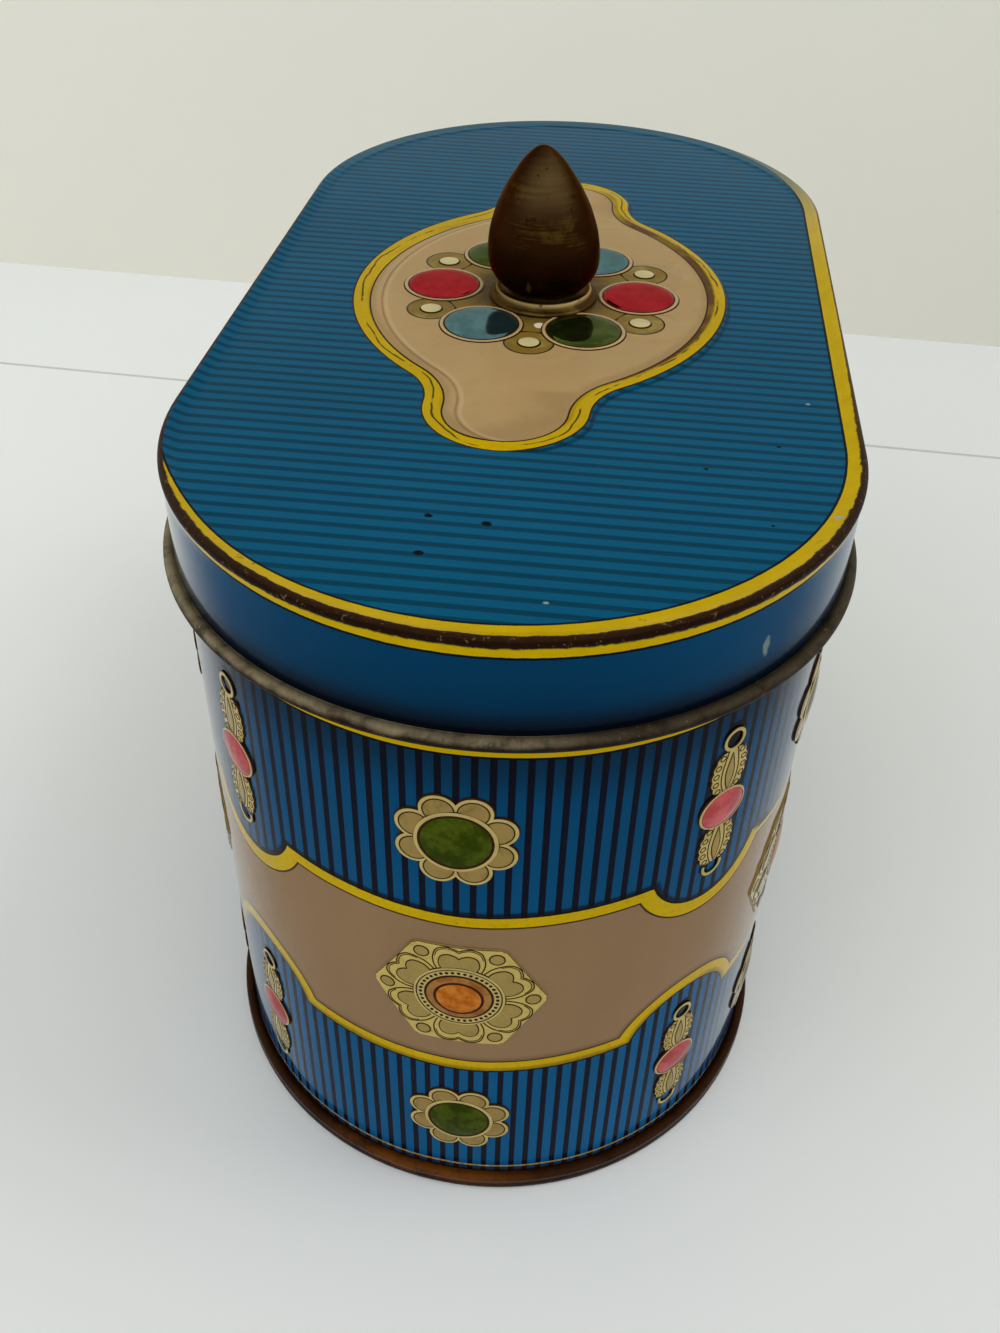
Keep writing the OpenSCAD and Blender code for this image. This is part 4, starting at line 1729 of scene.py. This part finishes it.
def arc_points(centre: Point, radius: float, first: float, last: float, count: int) -> list[Point]:
    """Points on a circle's arc between two angles in degrees, both ends among them."""
    turns = [math.radians(first + (last - first) * step / count) for step in range(count + 1)]
    return moved([(radius * math.cos(turn), radius * math.sin(turn)) for turn in turns], centre)


def keep(piece: bpy.types.Object, body: Body, slot: Slot, *nodes: str) -> None:
    """Rides a piece on its body and hides the nodes that it stands for."""
    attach(piece, body.value)
    if nodes:
        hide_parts(*nodes)
    triangles = sum(len(face.vertices) - 2 for face in piece.data.polygons)
    log.info("%s rides on %s: %d triangles", piece.name, body.value, triangles)


@dataclass
class Canister:
    """Wall with its raised ornament, and the base."""
    foot: float = 0.6
    hem: float = 3.5
    flower_low: float = 19.9
    flower_high: float = 89.7
    flower_slide: float = -0.45
    plaque_height: float = 54.8
    pendant_low: float = 24.0
    pendant_high: float = 86.8

    def wall(self) -> bpy.types.Object:
        """Builds the printed wall with its hem."""
        top, sheet = FORM.wall_top, FORM.sheet
        levels = [self.foot + (top - 0.4 - self.foot) * step / 16 for step in range(17)]
        outside = [(0.0, level) for level in levels]
        fold = arc_points((-sheet, top - sheet), sheet, 20, 160, 6)
        hem = [(-2 * sheet, top - 0.5), (-2 * sheet, top - self.hem + 0.3)]
        hem += [(-1.6 * sheet, top - self.hem), (-sheet - 0.02, top - self.hem - 0.02)]
        inside = [(-sheet, level) for level in reversed(levels[:-1])]
        blank = Blank()
        runs = profile((WALL_PRINT, outside), (BARE_TIN, fold + hem + inside))
        blank.sweep(sheet_stations(), runs)
        return rolled(blank, "wall", FORM.shift, WALL_WAVER)

    def base(self) -> bpy.types.Object:
        """Builds the base panel with its rib and the seam that holds it."""
        seam = [(-0.5, 0.0), (1.2, 0.0), (1.55, 0.1), (1.78, 0.34), (1.85, 0.75), (1.82, 1.25)]
        seam += [(1.74, 1.55), (1.72, 1.75), (1.8, 1.95), (1.85, 2.3), (1.8, 2.8), (1.58, 3.2)]
        seam += [(1.2, 3.38), (0.7, 3.4), (0.3, 3.28), (0.12, 3.1), (0.06, 2.6)]
        rib = -8.75
        rim = [(-0.9, 2.6), (-1.0, 3.2), (-1.3, 3.36), (-2.5, 3.36)]
        crest = [(rib + x, z) for x, z in arc_points((0.0, 3.0), 1.2, 15, 165, 8)]
        floor = [(place, 3.35) for place in (-14.0, -22.0, -32.0, -42.0, -49.98)]
        under = [(-49.98, 3.0), (-40.0, 3.0), (-28.0, 3.0), (-16.0, 3.0)]
        hollow = [(rib + x, z) for x, z in arc_points((0.0, 3.0), 0.85, 170, 10, 8)]
        chuck = [(-2.4, 3.0), (-1.0, 2.9), (-0.76, 2.5), (-0.72, 0.5)]
        panel = rim + crest + floor + under + hollow + chuck
        blank = Blank()
        blank.sweep(sheet_stations(), profile((BASE_SEAM, seam), (BARE_TIN, panel)))
        return rolled(blank, "base", FORM.shift, BASE_WAVER)

    def build(self) -> None:
        """Builds the canister's pieces."""
        keep(self.wall(), Body.CANISTER, Slot.WALL, "body_wall")
        keep(self.base(), Body.CANISTER, Slot.BASE, "base_plate")
        apart = self.flower_high - self.flower_low
        flowers = Rank(Stations.PANELS, self.flower_low, apart, count=2, slide=self.flower_slide)
        plaques = Rank(Stations.PANELS, self.plaque_height)
        apart = self.pendant_high - self.pendant_low
        pendants = Rank(Stations.PENDANTS, self.pendant_low, apart, count=2)
        for name, ornament, rank in (
            ("flowers", Flower(), flowers),
            ("plaques", Plaque(), plaques),
            ("pendants", Pendant(), pendants),
        ):
            keep(set_round(ornament.blank(), name, rank), Body.CANISTER, Slot.WALL)


@dataclass(frozen=True)
class Stamp:
    """Round form pressed into the lid's top, by radius, height and the finish inside."""
    middle: Point
    steps: Sequence[Step]
    count: int = 48

    def reach(self, x: float, y: float) -> float:
        """Distance from its middle."""
        return math.hypot(x - self.middle[0], y - self.middle[1])

    def height(self, x: float, y: float) -> float:
        """Height above the panel at a spot."""
        reach = self.reach(x, y)
        if reach >= self.steps[0][0]:
            return 0.0
        for (outer, high, _), (inner, low, _) in zip(self.steps, self.steps[1:]):
            if reach >= inner:
                share = (reach - inner) / (outer - inner)
                return low + (high - low) * share
        return self.steps[-1][1]

    def finish(self, x: float, y: float) -> Finish | None:
        """Finish at a spot, or none outside it."""
        reach = self.reach(x, y)
        inside = [finish for radius, _, finish in self.steps if reach < radius]
        return inside[-1] if inside else None


@dataclass
class Lid:
    """Drawn lid: its edge and skirt, and its top with the raised panel and the jewels."""
    top_edge: float = -2.5
    half: float = 32.5
    side_radius: float = 46.0
    lobe_place: float = 43.7
    lobe_radius: float = 12.6
    neck_radius: float = 12.0
    border: float = 2.9
    outer_line: float = 0.28
    inner_line: float = 0.3
    field_shift: Point = (0.0, -1.1)
    askew: float = -1.3
    press_shift: Point = (2.3, -1.5)
    press: Point = (1.2, 3.0)
    jewels: int = 6
    jewel_ring: float = 17.2
    pearl_ring: float = 20.6
    hole: float = 2.2

    def __post_init__(self) -> None:
        """Works out the circles of the panel's outline and the stamps round the knob."""
        bow, lobe = Vector((self.half - self.side_radius, 0.0)), Vector((0.0, self.lobe_place))
        big, small = self.side_radius + self.neck_radius, self.lobe_radius + self.neck_radius
        apart = (lobe - bow).length
        along = (lobe - bow) / apart
        reach = (big**2 - small**2 + apart**2) / (2 * apart)
        off = math.sqrt(big**2 - reach**2)
        self.bow, self.lobe = bow, lobe
        self.neck = bow + reach * along + off * Vector((along.y, -along.x))
        self.stamps = self.jewel_stamps() + self.pearl_stamps()

    def around(self, radius: float, first: float) -> list[Point]:
        """Middles of things that stand round the knob."""
        step = 360 / self.jewels
        places = [turned([(radius, 0.0)], first + item * step)[0] for item in range(self.jewels)]
        return moved(places, FORM.jewel_place)

    def jewel_stamps(self) -> list[Stamp]:
        """The jewels in their rings."""
        stamps = []
        for item, middle in enumerate(self.around(self.jewel_ring, 0.0)):
            lacquer = (LID_RED, LID_BLUE, LID_GREEN)[item % 3]
            steps = profile(
                (LINE_INK, [(7.2, 0.0), (7.05, 0.06)]),
                (RING_INK, [(6.95, 0.12), (6.8, 0.22), (6.62, 0.22)]),
                (LINE_INK, [(6.42, 0.14), (6.3, 0.14)]),
                (lacquer, [(6.1, 0.18), (5.85, 0.4), (5.5, 0.54), (4.8, 0.64)]),
                (lacquer, [(3.6, 0.72), (2.0, 0.77), (0.7, 0.78)]),
            )
            stamps.append(Stamp(middle, steps))
        return stamps

    def pearl_stamps(self) -> list[Stamp]:
        """The flat pearls between the jewels."""
        steps = profile(
            (LINE_INK, [(2.05, 0.0), (1.86, 0.1)]),
            (PEARL_INK, [(1.74, 0.16), (1.3, 0.24), (0.5, 0.28)]),
        )
        return [Stamp(middle, steps, count=20) for middle in self.around(self.pearl_ring, 30.0)]

    def skirt(self) -> bpy.types.Object:
        """Builds the lid's edge, skirt and rolled foot."""
        under = [(self.top_edge, 124.6), (-0.9, 124.75), (-0.1, 125.05), (0.25, 125.0)]
        under += [(0.55, 124.7), (0.65, 124.0), (0.65, 118.0), (0.65, 112.0)]
        roll = arc_points((1.65, 109.55), 1.0, 182, 490, 24)
        outside = [(1.0, 110.5 + 1.1 * step) for step in range(12)] + [(1.02, 123.6), (1.08, 124.2)]
        corner = arc_points((0.42, 124.85), 0.8, -10, 95, 8)
        slope = [(0.0, 125.54), (-0.4, 125.38), (-0.9, 125.18), (-1.4, 125.03), (-1.9, 124.97)]
        runs = profile(
            (BARE_TIN, under), (ROLLED_EDGE, roll), (LID_PRINT, outside + corner + slope),
            (BARE_TIN, [(self.top_edge, FORM.lid_top)]),
        )
        blank = Blank()
        blank.sweep(sheet_stations(), runs)
        return rolled(blank, "lid_skirt")

    def panel(self, inset: float, aside: Point = (0.0, 0.0)) -> list[Point]:
        """Outline of the raised panel, drawn in by an inset and moved aside."""
        out = self.neck - self.bow
        turn = math.degrees(math.atan2(out.y, out.x))
        to_lobe = self.lobe - self.neck
        meets = math.degrees(math.atan2(to_lobe.y, to_lobe.x)) % 360
        quarter = arc_points(tuple(self.bow), self.side_radius - inset, 0, turn, 20)
        quarter += arc_points(tuple(self.neck), self.neck_radius + inset, turn + 180, meets, 10)[1:]
        quarter += arc_points(tuple(self.lobe), self.lobe_radius - inset, meets - 180, 90, 14)[1:]
        left = [(-x, y) for x, y in reversed(quarter[:-1])]
        top = quarter + left
        below = [(-x, -y) for x, y in top[1:-1]]
        return moved(moved(turned(top + below, self.askew), FORM.panel_place), aside)

    def inset_at(self, x: float, y: float) -> float:
        """How far a spot lies inside the panel's outline, below zero outside it."""
        spot = (x - FORM.panel_place[0], y - FORM.panel_place[1])
        spot = Vector([abs(part) for part in turned([spot], -self.askew)[0]])
        away, out = spot - self.bow, self.neck - self.bow
        if out.cross(away) < 0:
            return self.side_radius - away.length
        away, out = spot - self.neck, self.lobe - self.neck
        if out.cross(away) < 0:
            return self.lobe_radius - (spot - self.lobe).length
        return away.length - self.neck_radius

    def press_at(self, x: float, y: float) -> float:
        """How far a spot lies inside the pressed panel, which sits askew of its print."""
        return self.inset_at(x - self.press_shift[0], y - self.press_shift[1])

    def height_at(self, x: float, y: float) -> float:
        """Height of the top's outer skin at a spot."""
        low, high = self.press
        share = min(max((self.press_at(x, y) - low) / (high - low), 0.0), 1.0)
        level = FORM.lid_top + (FORM.panel_top - FORM.lid_top) * share * share * (3 - 2 * share)
        return level + sum(stamp.height(x, y) for stamp in self.stamps)

    def finish_at(self, x: float, y: float) -> Finish:
        """Finish of the top at a spot."""
        for stamp in self.stamps:
            finish = stamp.finish(x, y)
            if finish:
                return finish
        outer = self.inset_at(x, y)
        if outer < -self.outer_line:
            return LID_PRINT
        inner = self.inset_at(x - self.field_shift[0], y - self.field_shift[1]) - self.border
        if outer < 0.0 or 0.0 < inner < self.inner_line:
            return LINE_INK
        return BORDER_PRINT if inner < 0.0 else FIELD_PRINT

    def top(self) -> Blank:
        """Builds the top's outer skin from flat loops, joined by triangles."""
        loops = [FORM.outline(offset, 72) for offset in (self.top_edge + 0.05, -4.0)]
        loops += [self.panel(inset) for inset in (-self.outer_line, 0.0, 1.0)]
        for more in (-0.9, 0.0, self.inner_line):
            loops.append(self.panel(self.border + more, self.field_shift))
        slope = (0.8, 1.2, 1.6, 2.1, 2.6, 3.0, 3.5, 4.1)
        loops += [self.panel(inset, self.press_shift) for inset in slope]
        for stamp in self.stamps:
            reaches = [stamp.steps[0][0] + 0.4, *(radius for radius, _, _ in stamp.steps)]
            loops += [circle(stamp.middle, radius, stamp.count) for radius in reaches]
        loops.append(circle(FORM.knob_place, self.hole, 32))
        points: list[Vector] = []
        edges: list[tuple[int, int]] = []
        for loop in loops:
            first, count = len(points), len(loop)
            points += [Vector(point) for point in loop]
            edges += [(first + step, first + (step + 1) % count) for step in range(count)]
        flat, _, faces, _, _, _ = delaunay_2d_cdt(points, edges, [], 0, EXACT)
        made = Blank()
        made.ring([(point.x, point.y, self.height_at(point.x, point.y)) for point in flat])
        knob = Vector(FORM.knob_place)
        for face in faces:
            middle = sum((flat[corner] for corner in face), Vector((0.0, 0.0))) / len(face)
            if (middle - knob).length > self.hole:
                made.face(tuple(face), self.finish_at(middle.x, middle.y))
        return made

    def crown(self) -> bpy.types.Object:
        """Builds the top as a closed sheet with a tin underside."""
        piece = self.top().piece("lid_top", smooth=50.0)
        mesh = piece.data
        thicken(mesh, FORM.sheet, BARE_TIN)
        for name, rule in (("inset", self.inset_at), ("press", self.press_at)):
            layer = mesh.attributes.new(name, "FLOAT", "POINT")
            spots = [(point.co.x / MM, point.co.y / MM) for point in mesh.vertices]
            layer.data.foreach_set("value", [rule(x, y) for x, y in spots])
        return piece

    def build(self) -> None:
        """Builds the lid as one piece, of its top and its skirt."""
        lid = joined("lid", [self.crown(), self.skirt()])
        keep(lid, Body.LID, Slot.LID, "lid_shell")


def thicken(mesh: bpy.types.Mesh, thickness: float, inner: Finish) -> None:
    """Turns an open skin into a closed sheet, by a second skin inside it."""
    mesh.materials.append(inner.material())
    number = len(mesh.materials) - 1
    work = bmesh.new()
    work.from_mesh(mesh)
    work.normal_update()
    outer = list(work.faces)
    rims = [edge for edge in work.edges if len(edge.link_faces) == 1]
    twins = {}
    for point in list(work.verts):
        twins[point] = work.verts.new(point.co - point.normal * thickness * MM)
    for face in outer:
        twin = work.faces.new([twins[point] for point in reversed(face.verts)])
        twin.material_index = number
        twin.smooth = True
    for edge in rims:
        loop = edge.link_loops[0]
        start, end = loop.vert, loop.link_loop_next.vert
        side = work.faces.new([end, start, twins[start], twins[end]])
        side.material_index = number
    work.to_mesh(mesh)
    work.free()


def joined(name: str, parts: Sequence[bpy.types.Object]) -> bpy.types.Object:
    """Joins objects into one piece with the finishes of all."""
    mesh = bpy.data.meshes.new(name)
    work = bmesh.new()
    for part in parts:
        numbers = []
        for material in part.data.materials:
            if material.name not in mesh.materials:
                mesh.materials.append(material)
            numbers.append(mesh.materials.find(material.name))
        before = len(work.faces)
        work.from_mesh(part.data)
        work.faces.ensure_lookup_table()
        for face in work.faces[before:]:
            face.material_index = numbers[face.material_index]
    work.to_mesh(mesh)
    work.free()
    for part in parts:
        bpy.data.objects.remove(part)
    return stood(name, mesh)


def lathe(rings: Sequence[Point], finish: Finish, count: int, lean: Point = (0.0, 0.0)) -> Blank:
    """Turned solid on the knob's middle.

    Args:
        rings: radius and height of each ring, from its foot up on the outside.
        finish: its finish.
        count: points round it.
        lean: how far it leans along X and Y for each unit of height above its first ring.

    Returns:
        The closed solid.
    """
    foot = rings[0][1]
    made = Blank()
    layers = []
    for radius, z in rings:
        middle = tuple(place + slope * (z - foot) for place, slope in zip(FORM.knob_place, lean))
        layers.append([(x, y, z) for x, y in circle(middle, radius, count)])
    made.mound(layers, [finish] * len(layers))
    return made


@dataclass
class Knob:
    """Brass bud on its collar, with the stud, washer and nut that hold it."""
    seat: float = 127.65
    collar_radius: float = 9.4
    lean: Point = (-0.038, -0.039)
    sides: Sequence[Point] = field(
        default_factory=lambda: (
            (6.4, 0.0), (7.4, 0.6), (8.1, 1.3), (8.75, 2.2), (9.3, 3.4), (9.55, 4.8),
            (9.58, 6.3), (9.45, 7.8), (9.1, 9.8), (8.55, 11.7), (7.85, 13.7), (6.95, 15.6),
            (5.9, 17.6), (4.65, 19.5), (3.4, 21.2), (2.3, 22.3), (1.3, 23.1), (0.6, 23.4),
            (0.2, 23.47),
        )
    )

    def bud(self) -> bpy.types.Object:
        """Builds the bud from its measured sides."""
        fair = curve(self.sides, 4)
        rings = [(radius, self.seat + height) for radius, height in fair]
        return lathe(rings, BUD_BRASS, 96, self.lean).piece("bud", smooth=60.0)

    def collar(self) -> bpy.types.Object:
        """Builds the collar with its broad foot, its slope and its thin bright rim."""
        steps = [(9.1, 0.0), (9.32, 0.12), (self.collar_radius, 0.36), (9.3, 0.62), (9.0, 0.8)]
        steps += [(8.75, 0.9), (8.52, 1.2), (8.4, 1.6), (8.28, 1.86), (8.1, 1.96), (7.9, 1.88)]
        steps += [(7.75, 1.7), (7.4, 1.62), (7.0, 1.76), (6.7, 2.02), (6.4, 2.3)]
        rings = [(radius, FORM.panel_top + height) for radius, height in steps]
        return lathe(rings, COLLAR_BRASS, 96).piece("collar", smooth=50.0)

    def build(self) -> None:
        """Builds the knob's pieces and finishes its fastening."""
        keep(self.bud(), Body.LID, Slot.BUD, "finial")
        keep(self.collar(), Body.LID, Slot.COLLAR, "finial_collar")
        for name in ("knob_stud", "stud_washer", "stud_nut"):
            node = bpy.data.objects[name]
            for slot in node.material_slots:
                slot.material = PLATED_STEEL.material()
            log.info("%s keeps its shape", name)


@dataclass(frozen=True)
class TablePaint(Finish):
    """Plain pale table, with a faint joint across it."""
    colour: Colour = paint(237, 239, 237)
    joint_colour: Colour = paint(140, 132, 136)
    joint: Point = (185.65, -0.0335)

    def paint(self, net: Paint) -> bpy.types.Material:
        """Builds the material's nodes."""
        where = net.body_place()
        x, y, _ = net.parts(where)
        fine = net.noise(where, 0.004, 3.0)
        # Painted light: the table is lighter towards the left and back, and darker towards the front.
        near_left = net.rise(x, 80.0, -180.0) * net.rise(y, -170.0, 20.0)
        front = net.rise(y, -140.0, -330.0)
        colour = net.tint(self.colour, fine * 0.06 + 0.97 + near_left * 0.07 - front * 0.05)
        line = net.within(y - x * self.joint[1], self.joint[0] - 0.7, self.joint[0] + 0.7, 0.7)
        colour = net.blend(line * 0.45, colour, self.joint_colour)
        return net.finish(Base_Color=colour, Roughness=0.7, Specular_IOR_Level=0.2)


@dataclass(frozen=True)
class PlainWall(Finish):
    """Plain, slightly warm wall behind the table."""
    colour: Colour = paint(235, 233, 220)

    def paint(self, net: Paint) -> bpy.types.Material:
        """Builds the material's nodes."""
        where = net.body_place()
        x, _, _ = net.parts(where)
        fine = net.noise(where, 0.005, 3.0)
        # Painted shade: the wall darkens towards the right.
        colour = net.tint(self.colour, fine * 0.06 + 0.97 - net.rise(x, -80.0, 380.0) * 0.1)
        return net.finish(Base_Color=colour, Roughness=0.85, Specular_IOR_Level=0.1)


@dataclass(frozen=True)
class Lamp:
    """Soft square lamp that gloss doesn't mirror, with its lengths in metres."""
    name: str
    place: Place
    size: float
    power: float
    colour: Colour
    aim: Place = (0.0, 0.0, 0.05)

    def build(self) -> None:
        """Stands the lamp in the scene."""
        light = bpy.data.lights.new(self.name, "AREA")
        light.shape = "SQUARE"
        light.size = self.size
        light.energy = self.power
        light.color = self.colour
        thing = stood(self.name, light)
        thing.location = self.place
        thing.rotation_mode = "QUATERNION"
        way = Vector(self.aim) - Vector(self.place)
        thing.rotation_quaternion = way.to_track_quat("-Z", "Y")
        thing.visible_glossy = False


@dataclass
class Studio:
    """Table, wall, lamps and camera."""
    lamps: Sequence[Lamp] = (
        Lamp("key", place=(0.8, 0.15, 1.3), size=0.7, power=5.0, colour=(1.0, 0.98, 0.95)),
        Lamp("fill", place=(-1.0, -0.8, 0.9), size=1.2, power=2.5, colour=(0.96, 0.98, 1.0)),
    )
    air: Colour = (0.92, 0.94, 0.96)
    overhead: Colour = (0.6, 0.62, 0.64)
    horizon: Point = (0.45, 0.95)
    brightness: float = 0.98
    lens: float = 33.866
    film: float = 36.0
    sight: Point = (0.01, 20.0)
    eye: Place = (15.77, -210.32, 216.62)
    right: Place = (0.99248738, 0.12037086, 0.02190095)
    up: Place = (-0.09408327, 0.63644963, 0.76555875)
    edge: Point = (274.0, -0.03)
    half_width: float = 1500.0
    wall_height: float = 1200.0

    def flat(self, name: str, corners: Sequence[Place], finish: Finish) -> None:
        """Adds a flat sheet of the studio."""
        blank = Blank()
        blank.face(tuple(blank.ring(corners)), finish)
        blank.piece(name, smooth=30.0)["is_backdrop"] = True

    def room(self) -> None:
        """Builds the table and the wall behind it."""
        wide = self.half_width
        left, right = self.edge[0] - wide * self.edge[1], self.edge[0] + wide * self.edge[1]
        back = [(wide, right, 0.0), (-wide, left, 0.0)]
        self.flat("table", [(-wide, -wide, 0.0), (wide, -wide, 0.0), *back], TablePaint("table"))
        top = [(x, y, self.wall_height) for x, y, _ in reversed(back)]
        self.flat("back_wall", [*reversed(back), *reversed(top)], PlainWall("back_wall"))

    def world(self) -> None:
        """Lights everything softly from a pale room that is dimmer overhead."""
        world = bpy.data.worlds.new("pale_room")
        world.use_nodes = True
        net = Net(world.node_tree)
        net.tree.nodes.clear()
        direction = net.wire("ShaderNodeTexCoord", None, None, "Generated")
        _, _, up = net.parts(direction)
        colour = net.blend(net.rise(up, *self.horizon), self.air, self.overhead)
        values = {"Color": colour, "Strength": self.brightness}
        shader = net.wire("ShaderNodeBackground", None, values)
        net.node("ShaderNodeOutputWorld", None, {"Surface": shader})
        bpy.context.scene.world = world

    def camera(self) -> None:
        """Stands the camera where the photograph was taken from."""
        lens = bpy.data.cameras.new("camera")
        lens.lens = self.lens
        lens.sensor_width = self.film
        lens.clip_start, lens.clip_end = self.sight
        right, up = Vector(self.right), Vector(self.up)
        back = right.cross(up)
        turn = Matrix((right, up, back)).transposed().to_4x4()
        thing = stood("camera", lens)
        thing.matrix_world = Matrix.Translation(Vector(self.eye) * MM) @ turn
        bpy.context.scene.camera = thing

    def build(self) -> None:
        """Builds the studio."""
        self.camera()
        self.room()
        self.world()
        for lamp in self.lamps:
            lamp.build()
        bpy.context.scene.view_settings.view_transform = "Standard"


def main(before: tuple[Vector, Vector]) -> None:
    """Builds every piece in order.

    Args:
        before: the CAD model's box, which is not used.
    """
    logging.basicConfig(level=logging.INFO, format="%(message)s")
    Studio().build()
    Canister().build()
    Lid().build()
    Knob().build()


if __name__ == "__main__":
    main(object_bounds())
